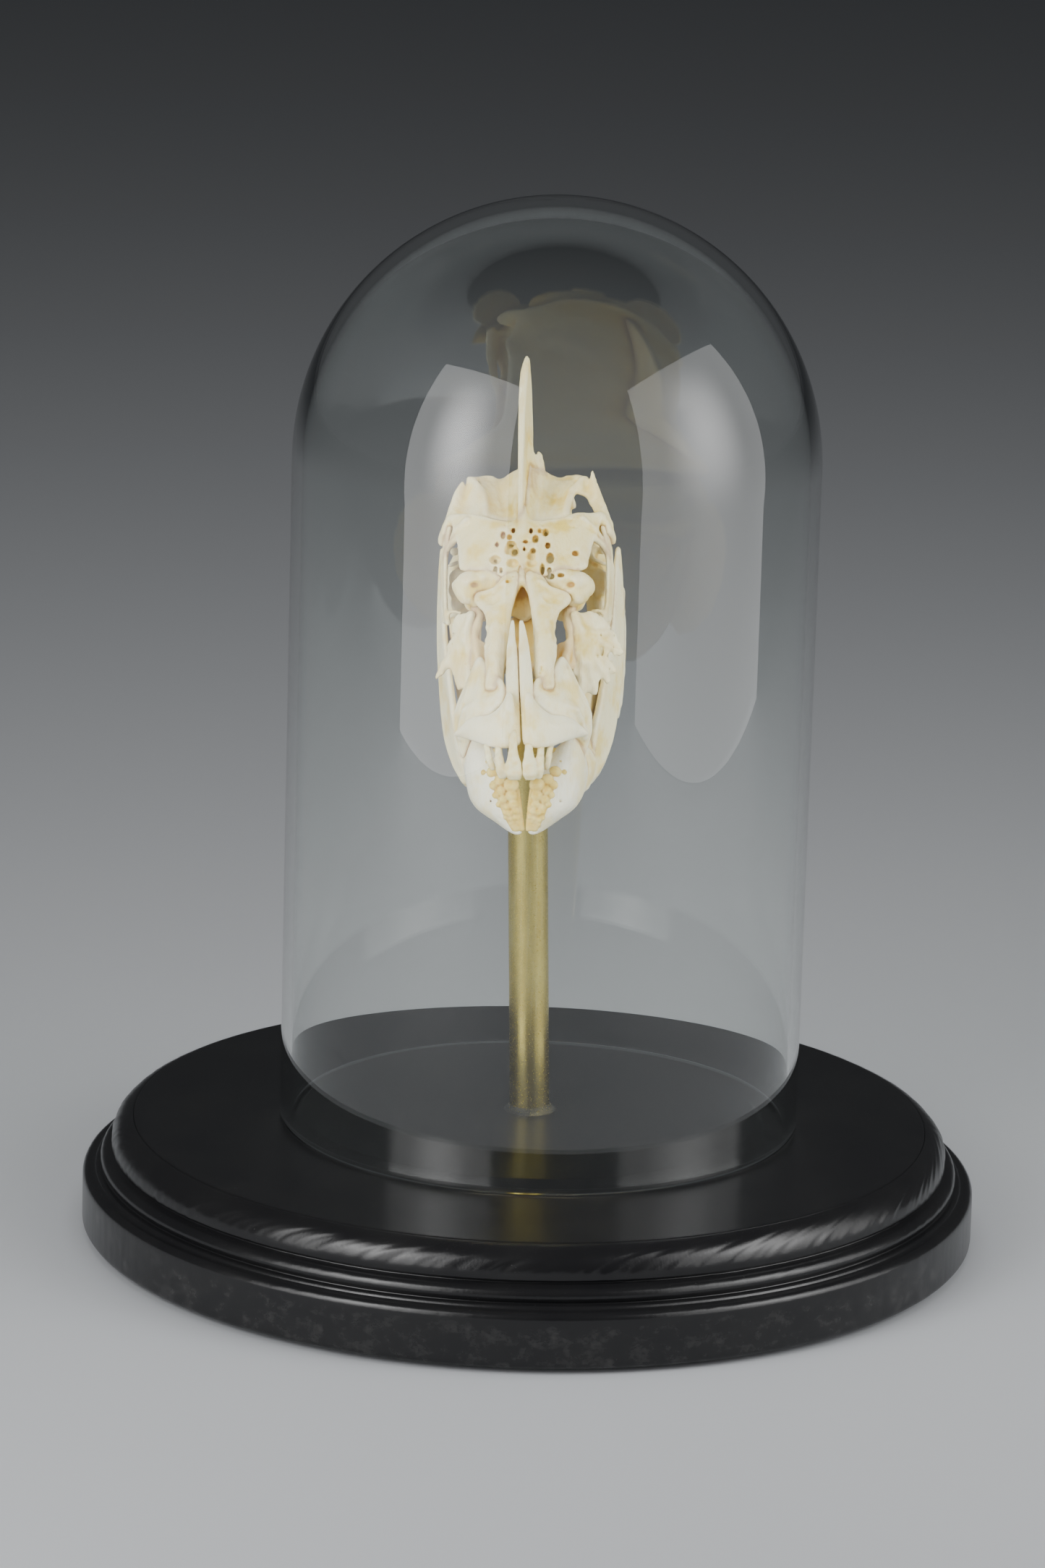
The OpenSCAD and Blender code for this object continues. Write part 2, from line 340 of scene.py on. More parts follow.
class Solid:
    """A solid held as distances on a grid, in the skull's own millimetres."""

    def __init__(self, low, high, step=0.38, side=1):
        self.step, self.side, self.place = step, side, SKULL
        corners = np.array([low, high], float)
        corners[:, 0] *= side
        low, high = corners.min(0), corners.max(0)
        self.low = low - 3 * step
        self.d = np.full(np.ceil((high - low) / step).astype(int) + 7, FAR, np.float32)

    def turned(self, balls):
        """The balls on the solid's side, which is the mirrored one at -1."""
        return [(self.side * b[0], b[1], b[2], b[3]) for b in balls]

    def both_sides(self):
        """Each side in turn: what is added meanwhile goes on that side."""
        for side in (1, -1):
            self.side = side
            yield side
        self.side = 1

    def near(self, balls, margin):
        """The part of the grid round some balls, and its points."""
        centres = np.array([b[:3] for b in balls], float)
        reach = max(b[3] for b in balls) + margin
        first = np.floor((centres.min(0) - reach - self.low) / self.step).astype(int)
        last = np.ceil((centres.max(0) + reach - self.low) / self.step).astype(int) + 1
        first, last = np.clip(first, 0, self.d.shape), np.clip(last, 0, self.d.shape)
        spans = [self.low[i] + self.step * np.arange(first[i], last[i]) for i in range(3)]
        points = np.stack(np.meshgrid(*spans, indexing="ij"), axis=-1).astype(np.float32)
        return tuple(slice(i, j) for i, j in zip(first, last)), points

    def add(self, groups, to_shape, blend):
        """Joins on the shapes that groups of balls make, with one round blend round them all."""
        own = np.full_like(self.d, FAR)
        for balls in groups:
            where, points = self.near(balls, blend + 3 * self.step)
            if points.size:
                own[where] = np.minimum(own[where], to_shape(points, *balls))
        where, _ = self.near([ball for balls in groups for ball in balls], blend + 3 * self.step)
        self.d[where] = smooth_min(self.d[where], own[where], blend)
        return self

    def bar(self, balls, blend=0.6):
        """A bent bar along a line of balls."""
        balls = self.turned(curved(balls))
        return self.add(list(zip(balls, balls[1:])), to_line, blend)

    def ball(self, centre, blend=0.6):
        """A ball: x, y, z, radius."""
        return self.bar([centre, centre], blend)

    def sheet(self, balls, faces, blend=0.5):
        """A plate with round edges; each face names three of the balls."""
        balls = self.turned(balls)
        return self.add([[balls[i] for i in face] for face in faces], to_triangle, blend)

    def strip(self, one, other, blend=0.5):
        """A plate between two edges that have as many balls each."""
        return self.weave([curved(one), curved(other)], blend)

    def quilt(self, rows, blend=0.5):
        """A curved plate through rows of balls that have as many balls each."""
        rows = zip(*(curved(column) for column in zip(*rows)))
        return self.weave([curved(row) for row in rows], blend)

    def weave(self, rows, blend):
        """A plate of triangles between each row of balls and the next."""
        n, faces = len(rows[0]), []
        for i in range(0, n * (len(rows) - 1), n):
            faces += [(i + k, i + k + 1, i + n + k) for k in range(n - 1)]
            faces += [(i + k + 1, i + n + k + 1, i + n + k) for k in range(n - 1)]
        return self.sheet([ball for row in rows for ball in row], faces, blend)

    def fan(self, middle, edge, blend=0.5):
        """A plate from a middle ball to the balls round its edge."""
        n = len(edge)
        faces = [(0, 1 + i, 1 + (i + 1) % n) for i in range(n)]
        return self.sheet([middle] + list(edge), faces, blend)

    def dig(self, centre, radii, blend=0.3):
        """Takes out an egg-shaped pit; radii are along x, y and z."""
        centre = np.array([self.side * centre[0], centre[1], centre[2]])
        radii = np.array(radii, float)
        where, points = self.near([(*centre, radii.max())], blend + 2 * self.step)
        if points.size:
            away = (points - centre) / radii
            pit = (np.sqrt((away * away).sum(-1)) - 1) * radii.min()
            self.d[where] = -smooth_min(-self.d[where], pit, blend)
        return self

    def groove(self, balls, blend=0.3):
        """Takes out a bent bar."""
        balls = self.turned(balls)
        for a, b in zip(balls, balls[1:]):
            where, points = self.near([a, b], blend + 2 * self.step)
            if points.size:
                self.d[where] = -smooth_min(-self.d[where], to_line(points, a, b), blend)
        return self

    def rough(self, size, depth, seed):
        """Waves of the given size and depth over the surface."""
        where = np.nonzero(np.abs(self.d) < 1.2)
        points = np.stack(where, axis=-1).astype(np.float32) * self.step + self.low
        self.d[where] += (depth * value_noise(points.astype(np.float32), size, seed)).astype(np.float32)
        return self

    def pit(self, count, radius, seed):
        """Small pores here and there over the surface."""
        random = np.random.default_rng(seed)
        shell = np.argwhere(np.abs(self.d) < 0.6 * self.step)
        for i in random.choice(len(shell), count, replace=False):
            across, up = radius * random.uniform(0.7, 1.3, 2)
            centre = shell[i] * self.step + self.low
            self.dig((self.side * centre[0], centre[1], centre[2]), (across, max(across, up), up), 0.15)
        return self

    def soften(self, times):
        """Rounds off the whole surface."""
        for _ in range(times):
            self.d = softened(self.d)
        return self

    def distance(self, places):
        """The distance from the surface at some places, or a large one away from the grid."""
        at = (places - self.low) / self.step
        inside = ((at >= 0) & (at <= np.array(self.d.shape) - 1)).all(axis=1)
        out = np.full(len(places), FAR)
        if inside.any():
            out[inside] = sample(self.d, at[inside])
        return out

    def mesh(self, name, others=()):
        """The surface as a mesh in the frame, with how hollow it is and how near to other solids."""
        grid = openvdb.FloatGrid(FAR)
        grid.copyFromArray(self.d)
        at, quads = grid.convertToQuads()
        wide = self.d
        for _ in range(HOLLOW_PASSES):
            wide = softened(wide)
        hollow = np.clip(-sample(wide, at) / HOLLOW_DEPTH, -1, 1)
        places = at * self.step + self.low
        gap = np.full(len(places), FAR)
        for other in others:
            gap = np.minimum(gap, other.distance(places))
        values = {"hollow": hollow, "seam": 1 - np.clip(gap / SEAM_REACH, 0, 1)}
        return make_mesh(name, places, quads, values, self.place)


def softened(values):
    """The grid with each value spread a little to its neighbours."""
    out = values
    for axis in range(3):
        out = np.moveaxis(out, axis, 0)
        middle = (out[:-2] + 2 * out[1:-1] + out[2:]) / 4
        out = np.moveaxis(np.concatenate([out[:1], middle, out[-1:]]), 0, axis)
    return out


def sample(values, at):
    """The grid's values at places between its points."""
    cell = np.clip(np.floor(at).astype(int), 0, np.array(values.shape) - 2)
    part = at - cell
    total = 0
    for corner in range(8):
        step = np.array([corner & 1, corner >> 1 & 1, corner >> 2 & 1])
        index = cell + step
        total = total + np.prod(np.where(step, part, 1 - part), axis=-1) * values[tuple(index.T)]
    return total


def make_mesh(name, places, quads, values, matrix):
    """A mesh in the frame from points in a solid's own millimetres."""
    a, b, c, d = (places[quads[:, i]] for i in range(4))
    if (np.cross(c - a, d - b) * a).sum() < 0:
        quads = quads[:, ::-1]
    matrix = np.array(matrix)
    world = places @ matrix[:3, :3].T + matrix[:3, 3]
    mesh = bpy.data.meshes.new(name)
    mesh.vertices.add(len(world))
    mesh.vertices.foreach_set("co", world.astype(np.float32).ravel())
    mesh.loops.add(quads.size)
    mesh.loops.foreach_set("vertex_index", quads.astype(np.int32).ravel())
    mesh.polygons.add(len(quads))
    mesh.polygons.foreach_set("loop_start", np.arange(0, quads.size, 4, dtype=np.int32))
    mesh.update(calc_edges=True)
    mesh.validate()
    mesh.polygons.foreach_set("use_smooth", np.ones(len(mesh.polygons), bool))
    for label, numbers in values.items():
        attribute = mesh.attributes.new(label, "FLOAT", "POINT")
        attribute.data.foreach_set("value", numbers.astype(np.float32))
    return mesh


def add_piece(mesh, nodes, slot, body, material):
    """Puts a mesh in the scene in place of some CAD nodes."""
    piece = bpy.data.objects.new(mesh.name, mesh)
    bpy.context.scene.collection.objects.link(piece)
    mesh.materials.append(material)
    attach(piece, body)
    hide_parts(*nodes)
    return piece


# ---- the bones' shapes ------------------------------------------------------------


def brow_y(x, z):
    """How far back the front of the frontal bones lies at x and z."""
    return float(np.interp(z, (31, 33.5, 38, 42, 46), (-19.6, -18.9, -17.6, -15.7, -13.2))) + 0.012 * x * x


# The pores of the frontals: x, z, radius across, radius up, depth
PORES = [
    (-2, 43.7, 0.5, 0.75, 1.6), (-4.3, 42.7, 0.65, 1.0, 1.5), (-2.8, 42.2, 0.7, 0.75, 1.3),
    (2, 43.6, 0.5, 0.7, 1.6), (3.9, 43.6, 0.6, 0.6, 1.5), (5.3, 43.2, 0.75, 1.0, 1.8),
    (3.1, 41.7, 0.85, 1.0, 1.8), (0.9, 41.1, 0.8, 0.45, 0.8), (5.9, 40.2, 0.65, 0.8, 1.5),
    (-2.4, 40.4, 1.2, 1.0, 1.9), (-1.6, 38.9, 1.1, 1.2, 2.2), (-3.1, 39.2, 0.8, 1.1, 1.4),
    (0.6, 39.4, 0.4, 0.6, 1.2), (2.6, 39, 0.75, 0.7, 1.8), (2.2, 37.8, 1.05, 1.0, 1.6),
    (6.5, 37.3, 0.95, 1.35, 1.8), (-5.9, 37, 1.3, 1.1, 1.2), (-2, 36.2, 1.4, 1.0, 1.1),
    (2.3, 36.2, 1.3, 0.9, 0.9), (-5.8, 34.8, 0.5, 0.85, 1.1), (-4.5, 34.6, 0.4, 0.8, 0.9),
    (4.8, 34.8, 0.55, 1.4, 1.4), (6.4, 34.5, 0.55, 0.8, 1.2), (-5.6, 40.5, 0.5, 0.65, 0.9),
    (9.4, 34.5, 0.65, 0.45, 1.5), (10.6, 33.8, 0.8, 0.45, 1.5), (12.1, 38.4, 0.9, 0.7, 0.9),
    (-0.3, 35, 0.2, 0.8, 1.0), (11.1, 46.1, 0.45, 0.2, 0.5), (8.1, 45.4, 0.28, 0.28, 0.5),
    (-4, 45, 0.35, 0.3, 0.7), (4.6, 45, 0.35, 0.3, 0.7), (11.6, 44.4, 0.5, 0.2, 0.4),
]


def cranium():
    """Frontals in front, the hollowed roof behind them, and the braincase."""
    solid = Solid((-23, -24, 27), (23, 27, 60))
    for side in solid.both_sides():
        brow = [
            [(0, -17.8, 33.4, 0.9), (4, -18.2, 33.6, 0.9), (7, -18, 35, 0.9), (11, -17, 34.8, 0.9),
             (14, -15.3, 35.4, 0.6)],
            [(0, -16.2, 38, 1.3), (4, -16.4, 38, 1.3), (8, -16, 38, 1.2), (12, -14.8, 38.3, 1.1),
             (14.4, -13, 38.8, 0.7)],
            [(0, -14.4, 42, 1.3), (4, -14.5, 42, 1.3), (8, -13.9, 42, 1.2), (12, -12.6, 42.2, 1.1),
             (15.2, -10.4, 42.4, 0.7)],
            [(0, -12.2, 45, 1.1), (4, -12, 45, 1.0), (8, -11.2, 45.6, 1.0), (12, -10, 46.8, 0.9),
             (16.8, -7.4, 47, 0.8)],
        ]
        solid.quilt(brow, 0.8)
        roof = [
            [(0, -10.6, 46, 0.7), (3, -9, 46, 0.5), (6, -8, 46.4, 0.45), (9.4, -8, 47.2, 0.6)],
            [(0, -8, 50, 0.6), (3, -4, 50, 0.45), (6, -2, 50, 0.4), (9.6, -4, 50.4, 0.7)],
            [(0, -5.5, 54, 0.6), (3, -0.5, 54, 0.45), (6, 1.6, 54, 0.4), (10.6, -0.5, 54, 0.6)],
            [(0, -3, 59, 0.6), (3.4, 2, 57.4, 0.4), (6.6, 4, 55.9, 0.35), (10.8, 3.4, 56.2, 0.5)],
        ]
        solid.quilt(roof, 0.5)
        hind = [
            [(0, -1, 58, 0.7), (3.4, 2.4, 57, 0.5), (6.6, 4.4, 55.6, 0.5), (10.8, 3.8, 55.8, 0.6)],
            [(0, 11, 54, 0.8), (3, 12, 53.4, 0.7), (6, 12, 52.6, 0.7), (9, 11, 51.8, 0.8)],
            [(0, 21, 49, 0.9), (4, 20.5, 48.5, 0.8), (8, 19.5, 47.5, 0.8), (11, 18, 45.5, 0.9)],
        ]
        solid.quilt(hind, 0.8)
        # the ridge round the hole, and the spine outside it
        arch = [(9.2, -8.4, 47.4, 0.7), (9.4, -5, 50.4, 0.6), (10.6, -2.4, 53.2, 0.8), (12.6, -1, 55.6, 0.8),
                (10.8, 3, 56.2, 0.6), (8.6, 4, 56.4, 0.5)]
        solid.bar(arch, 0.8)
        tip = 57.6 if side > 0 else 55.2
        spine = [(19.7, -3, 42.2, 0.7), (18.7, -3.4, 45.4, 0.7), (17.5, -3.4, 49.4, 0.6),
                 (16.2, -3.2, 53, 0.55), (14.9, -3, tip, 0.4)]
        inner = [(18.6, -6.6, 43.6, 0.8), (17.4, -6.6, 46.6, 0.9), (15.4, -4.4, 48.6, 0.5),
                 (14, -2, 51.8, 0.45), (14.3, -2, tip - 3.4, 0.35)]
        solid.strip(spine, inner, 0.5)
        solid.sheet([(12.6, -1, 55.6, 0.7), (14, -2, 51.8, 0.5), (13.6, -1.4, 56, 0.5),
                          (10.6, -2.4, 53.2, 0.6)], [(0, 1, 2), (0, 1, 3)], 0.7)
        if side < 0:
            web = [(9.2, -8, 47.2, 0.4), (9.4, -5, 50.4, 0.4), (12.6, -1.4, 55.4, 0.45),
                   (14.2, -2, 51.8, 0.4), (15.4, -4.4, 48.6, 0.4), (17.2, -6.4, 46.8, 0.4)]
            solid.fan((13, -5, 49.4, 0.4), web, blend=0.5)
        # the side of the braincase and the shelf over the gill arch
        shelf = [(16.8, -7.4, 47, 0.8), (17.6, -4, 44, 1.0), (15.4, 3, 43, 1.2), (14.4, 12, 43.5, 1.2)]
        case = [(10, -3, 45, 1.2), (11, 0, 44, 1.6), (10.6, 7, 44, 1.8), (10, 14, 44, 1.8)]
        solid.strip(shelf, case, 1.0)
        solid.bar([(18.8, -3.4, 45.4, 0.8), (17, 3, 45.6, 0.8), (14.4, 12, 45, 0.9),
                        (13, 16, 46, 0.7)])
        solid.bar([(15.2, -10.4, 42.4, 0.7), (17.4, -8, 40.6, 0.8), (18.6, -6.4, 38.2, 0.7)], 0.8)
        solid.bar([(17, -6.8, 46, 0.9), (19, -5, 43.4, 0.8), (19.5, -4, 41.4, 0.8)], 0.8)
        solid.bar([(13.2, -11.4, 46.6, 0.6), (15.6, -10, 44.4, 0.5), (18, -7, 41.6, 0.4)], 0.7)
        for lump in ((5, 2, 44, 5.5), (5, 12, 43.5, 6), (4, 18, 40, 5), (6, 10, 37.5, 4.4),
                     (3.4, 4, 38, 3.6)):
            solid.ball(lump, 2.5)
        solid.bar([(5, -3, 41, 2.2), (6.4, -9, 39.5, 1.4), (9, -13, 37.6, 0.9),
                        (11, -15, 35.4, 0.8)], 1.5)
    solid.bar([(0, 20, 34.5, 3.2), (0, 22.5, 34, 2.8)], 1.2)
    solid.dig((0, 26, 34), (1.9, 2.6, 1.9), 0.6)
    solid.dig((0, 24.5, 40.4), (2.4, 6, 2.2), 0.8)
    for _ in solid.both_sides():
        solid.dig((6.5, 21, 47), (2.6, 3, 1.8), 0.8)
        solid.dig((10.4, 14, 48.4), (1.8, 5, 1.2), 0.8)
    # the hollow of the nose between the frontals, seams, and pores
    solid.bar([(-0.4, -14.8, 43.6, 0.5), (-0.4, -13.6, 46, 0.9), (-0.6, -11.6, 48.8, 0.9)], 2.4)
    solid.bar([(-0.4, -16.4, 40.6, 0.4), (-0.4, -18.2, 35.4, 0.5)], 0.8)
    # ribs that spread up the hollow roof
    for _ in solid.both_sides():
        for foot, head in (((2.4, -9, 47.4), (2.6, 0.4, 57)), ((4, -7.6, 47.6), (6, 2.6, 55.6)),
                           ((5.6, -7.4, 47.8), (9, 1.4, 55))):
            middle = [(a + b) / 2 for a, b in zip(foot, head)]
            middle[1] += 1.6
            solid.bar([(*foot, 0.3), (*middle, 0.4), (*head, 0.35)], 0.9)
    solid.soften(1)
    solid.rough((2.6, 2.6, 4.5), 0.16, 4)
    solid.rough((0.9, 0.9, 1.6), 0.07, 5)
    for x, z, across, up, depth in PORES:
        solid.dig((x - 0.4, brow_y(x, z), z), (across, 1.35 * depth, up), 0.2)
    return solid.pit(70, 0.28, 6)


def crest():
    """The tall blade on the skull's middle line, with the small spur beside it."""
    solid = Solid((-4, -18, 38), (6, 24, 87), 0.34)
    front = [(-0.8, -13.6, 45.2, 0.75), (-0.9, -12.6, 50, 0.65), (-0.95, -11.3, 58, 0.65),
             (-0.85, -9.8, 66, 0.75), (-0.7, -7.8, 74, 0.85), (-0.45, -5, 80, 0.9), (-0.1, -2, 83.6, 0.5)]
    back = [(-0.3, 6, 47, 0.7), (0, 10, 51, 0.6), (0.3, 9, 58, 0.45), (0.3, 6.6, 65, 0.45),
            (0.35, 3.6, 72, 0.5), (0.3, 0.6, 79, 0.5), (0.1, -0.8, 83.2, 0.45)]
    solid.strip(front, back, 0.5)
    solid.strip([(0, 6, 47, 0.7), (0, 10, 51, 0.6), (0, 9, 58, 0.45)],
                [(0, 16, 45, 0.7), (0, 19, 51, 0.6), (0, 13, 57.6, 0.5)], 0.5)
    # the foot of the blade leans out to one side, and the spur stands on it
    solid.strip([(-0.4, -7, 50, 0.7), (-0.3, -4, 58, 0.6), (-0.2, -2, 66, 0.4)],
                [(1.6, -3, 51, 0.5), (1.4, -1, 58, 0.45), (0.9, 0, 64, 0.3)], 1.0)
    solid.strip([(1.2, -1, 57, 0.5), (1.7, 0, 61, 0.3), (2.3, 1.4, 62.4, 0.3)],
                [(3.6, 2, 57, 0.45), (3.3, 2, 60, 0.35), (2.8, 1.6, 62, 0.3)], 0.6)
    solid.soften(1)
    solid.rough((1.6, 1.6, 12), 0.05, 11)
    return solid.rough((0.7, 0.7, 3), 0.025, 12)


def mesethmoid():
    """The peak over the nose hollow, with a leg down each side, and the hollow's brown back."""
    solid = Solid((-7, -24, 20), (7, -4, 37))
    solid.bar([(-0.3, -19, 33, 0.9), (0, -17.6, 35, 1.0)], 1.0)
    for _ in solid.both_sides():
        leg = [(0.4, -19.4, 32.6, 0.9), (1.9, -20, 29.6, 0.8), (2.8, -21.4, 26.4, 0.7),
               (3.3, -22.4, 23.4, 0.6)]
        behind = [(0.6, -15, 33, 1.4), (2.6, -15, 30, 1.3), (3.6, -15.6, 26, 1.0), (4, -17, 22.6, 0.7)]
        solid.strip(leg, behind, 0.8)
        solid.sheet([(0.6, -15, 33, 1.4), (3.6, -15.6, 26, 1.0), (0, -14, 24, 0.9),
                          (0, -13.6, 33, 1.2)], [(0, 1, 2), (0, 2, 3)], 0.8)
        solid.bar([(3, -14.4, 30, 1.4), (4.6, -11, 34, 1.4), (3, -7, 36, 1.2)], 1.0)
    solid.sheet([(0, -13.4, 24, 0.9), (0, -12, 33, 1.2), (0, -5, 24.4, 0.8), (0, -6, 33, 0.9)],
                [(0, 1, 2), (1, 2, 3)])
    solid.soften(1)
    solid.rough((1.6, 1.6, 2.4), 0.12, 21)
    solid.dig((0.9, -19.9, 33.2), (0.22, 1.0, 0.5), 0.15)
    solid.dig((-2.1, -20, 32.1), (0.5, 0.8, 0.4), 0.15)
    return solid


def vomer():
    """The stained plate deep in the nose, between the nasals."""
    solid = Solid((-6, -25, 10), (6, -9, 26))
    solid.quilt([[(-2.4, -13, 23.4, 0.9), (0, -12.6, 23.4, 1.2), (2.4, -13, 23.4, 0.9)],
                 [(-2.8, -17, 18, 0.8), (0, -16.6, 18, 1.1), (2.8, -17, 18, 0.8)],
                 [(-3, -20.4, 13, 0.9), (0, -20.8, 12.6, 1.3), (3, -20.4, 13, 0.9)]], 0.8)
    solid.soften(1)
    return solid.rough((1.2, 1.4, 2.2), 0.12, 31)


def parasphenoid():
    """The keel under the orbits, back to the braincase."""
    solid = Solid((-5, -15, 18), (5, 26, 36))
    solid.bar([(0, -11.5, 22.8, 1.5), (0, 0, 22.4, 1.1), (0, 8, 23.8, 1.3), (0, 17, 28.5, 1.9),
               (0, 22, 32, 2.0)], 1.0)
    solid.strip([(0, -10, 21.4, 0.5), (0, 0, 20.8, 0.4), (0, 8, 22.2, 0.5)],
                [(0, -11, 23.6, 0.8), (0, 0, 23.2, 0.7), (0, 8, 24.8, 0.8)])
    for _ in solid.both_sides():
        solid.strip([(0.5, 9, 24.4, 0.8), (0.5, 16, 28.4, 1.0)],
                    [(3.6, 10, 29, 0.5), (4, 15, 32, 0.6)], 0.8)
    solid.soften(1)
    return solid.rough((1.4, 3.4, 1.4), 0.12, 33)


def lateral_ethmoid(side):
    """A knob with a dimple, and the wall behind it in front of the eye."""
    solid = Solid((5, -24, 21), (18, -8, 38), side=side)
    for lump in ((9, -18.2, 33.2, 1.3), (12.2, -18.4, 32.2, 2.2), (14.1, -16.8, 31, 2.0),
                 (12.8, -17.4, 28.8, 1.9), (10.6, -17.4, 30, 1.8)):
        solid.ball(lump, 1.8)
    solid.fan((9, -17, 29.6, 1.0), [(8, -18.2, 34.4, 0.8), (12, -16.6, 34, 1.0), (14.4, -14, 30, 0.8),
                                    (12.6, -14.4, 26, 0.6), (9, -15.4, 23.6, 0.6), (6, -15, 25, 0.7),
                                    (5.2, -17.4, 32.8, 0.9)], blend=0.8)
    solid.bar([(10.4, -17.6, 27.6, 0.9), (11.4, -16.4, 26.2, 0.8), (10.2, -15.6, 24.8, 0.8)], 1.0)
    solid.soften(1)
    solid.rough((2.2, 2.2, 2.2), 0.26, 41 + side)
    solid.rough((0.8, 0.8, 0.8), 0.08, 43 + side)
    solid.dig((10.4, -20.0, 31.2), (1.5, 1.2, 0.9), 0.4)
    solid.dig((9.6, -19.6, 28.6), (1.6, 1.2, 0.6), 0.4)
    if side > 0:
        solid.dig((8.6, -18.8, 33.4), (0.9, 2.0, 0.5), 0.2)
        solid.dig((6.2, -18.2, 33.2), (1.0, 2.4, 0.7), 0.3)
    return solid.pit(12, 0.28, 45 + side)


def nasal(side):
    """A long half-round strip, wide over the nose hollow and blunt at its lower end."""
    solid = Solid((0.3, -32, 4), (12.5, -14, 36), 0.36, side=side)
    rows = [
        [(1.5, -18.8, 33.8, 0.7), (2.3, -19.4, 33.6, 0.7), (3.2, -19.2, 33.4, 0.6), (4.0, -18.4, 33.2, 0.5)],
        [(2.0, -20.4, 30.8, 0.9), (3.4, -20.9, 30.6, 0.7), (5.2, -20.2, 30.0, 0.6), (6.8, -19.2, 29.6, 0.6)],
        [(2.6, -21.8, 27.6, 0.9), (4.4, -22.2, 27.2, 0.7), (6.8, -21, 27.2, 0.7), (9.8, -19.4, 28, 0.7)],
        [(3.0, -23, 24.8, 0.8), (4.6, -23.6, 24.6, 0.9), (6.4, -23.2, 24.8, 0.9), (8.0, -21.6, 25.6, 0.7)],
        [(3.2, -24.8, 20.8, 0.6), (4.6, -25.6, 20.6, 0.9), (6.1, -25.4, 20.6, 0.9), (7.1, -24, 21, 0.5)],
        [(3.5, -26.8, 16.4, 0.6), (4.8, -27.6, 16.4, 0.8), (6.4, -27.4, 16.4, 0.9), (7.7, -26, 16.4, 0.5)],
        [(3.8, -28.8, 12, 0.6), (5, -29.6, 12, 0.8), (6.3, -29.4, 12, 0.8), (7.2, -28.2, 12.2, 0.5)],
        [(3.9, -30.4, 8.0, 0.6), (5.1, -30.9, 7.9, 0.7), (6.2, -30.8, 8.0, 0.7), (7.4, -30.0, 8.6, 0.5)],
    ]
    solid.quilt(rows, 0.5)
    solid.bar([(4.1, -30.8, 7.5, 0.5), (7.1, -30.4, 8.0, 0.5)], 0.5)
    # the raised inner border, the rolled lip of the wing, and the notched outer border
    solid.bar([(1.3, -19.8, 33.4, 0.6), (2.2, -21.2, 30, 0.7), (3.2, -23.2, 26, 0.7),
               (3.8, -25.6, 21, 0.6)], 0.6)
    solid.bar([(5, -24, 24.6, 0.7), (8.2, -21.6, 25.8, 0.7), (10.3, -19.8, 27.8, 0.7),
               (9.6, -19.2, 29.4, 0.6), (6.8, -19.8, 30.2, 0.5), (4.0, -20.8, 32.2, 0.5)], 0.6)
    for x, y, z in ((7.6, -25.4, 18.7), (7.8, -26.2, 17.4), (7.5, -24.4, 21.6)):
        solid.ball((x, y, z, 0.55), 0.5)
    solid.soften(1)
    solid.rough((1.1, 1.1, 5), 0.15, 51 + side)
    solid.rough((0.8, 0.8, 1.6), 0.08, 53 + side)
    solid.dig((6.8, -21.9, 28.2), (1.7, 1.0, 1.2), 0.8)
    if side > 0:
        solid.dig((4.9, -30.4, 12.3), (0.3, 1.0, 0.7), 0.3)
    else:
        solid.groove([(4.6, -30.4, 16, 0.35), (4.2, -31.2, 12.4, 0.35)], 0.3)
        solid.dig((3.3, -20.6, 32), (0.6, 0.8, 0.4), 0.2)
    return solid.pit(16, 0.26, 57 + side)


def lacrimal(side):
    """A thin ragged leaf below the eye, with ridges that spread out and down."""
    solid = Solid((8, -24, 3), (24, -5, 28), 0.36, side=side)

    def on_leaf(x, z, r, lift=0.0):
        return (x, -16.6 + 0.62 * (x - 14.8) - lift, z, r)

    if side > 0:
        edge = [(12, 24.9), (15, 25.2), (17.6, 24.6), (18.9, 22.6), (20.2, 21.6), (20.6, 19.6),
                (21.9, 18.4), (21.2, 17.2), (22.3, 16.1), (20.6, 15.4), (20, 14), (20.7, 11.6),
                (19.2, 11.8), (19.6, 8.4), (18, 10), (16.6, 9.4), (16.2, 6.6), (14.4, 7.2), (13, 5.2),
                (12.2, 9.4), (10.6, 13), (9.6, 16.2), (10.4, 20.4)]
        rays = [(20.5, 20), (21.4, 16.2), (20, 12), (18.6, 9.4), (15.6, 7.6), (12.8, 7.6)]
    else:
        edge = [(12.4, 25), (14.8, 24.8), (16.4, 22.6), (16.6, 19.6), (17.8, 17.6), (17.4, 15.6),
                (19.2, 13), (20.2, 10.4), (17.6, 11.6), (16, 12.8), (15.4, 10), (15, 7.4), (13.4, 8.6),
                (12.4, 6), (11.6, 10.4), (11.2, 14), (10.6, 17), (11, 21)]
        rays = [(16.4, 18.6), (19.4, 11.2), (16, 11.6), (14.4, 8.6), (12.2, 8)]
    solid.fan(on_leaf(13.6, 19, 0.6, 0.5), [on_leaf(x, z, 0.32) for x, z in edge], blend=0.4)
    for x, z in rays:
        solid.bar([on_leaf(13, 21, 0.5, 0.6), on_leaf((x + 13) / 2, (z + 21) / 2, 0.42, 0.6),
                   on_leaf(x, z, 0.3, 0.1)], 0.9)
    solid.bar([on_leaf(11.6, 24.6, 0.9, 0.3), on_leaf(12.6, 21.4, 0.8, 0.5), on_leaf(12.2, 16, 0.5, 0.4)],
              0.9)
    solid.soften(1)
    solid.rough((1.3, 1.3, 1.8), 0.2, 61 + side)
    solid.pit(26, 0.3, 63 + side)
    if side > 0:
        solid.dig((17.6, -15.6, 16.2), (0.35, 1.2, 1.1), 0.3)
        solid.dig((19.5, -13.9, 15.2), (0.5, 0.6, 1.0), 0.3)
    return solid


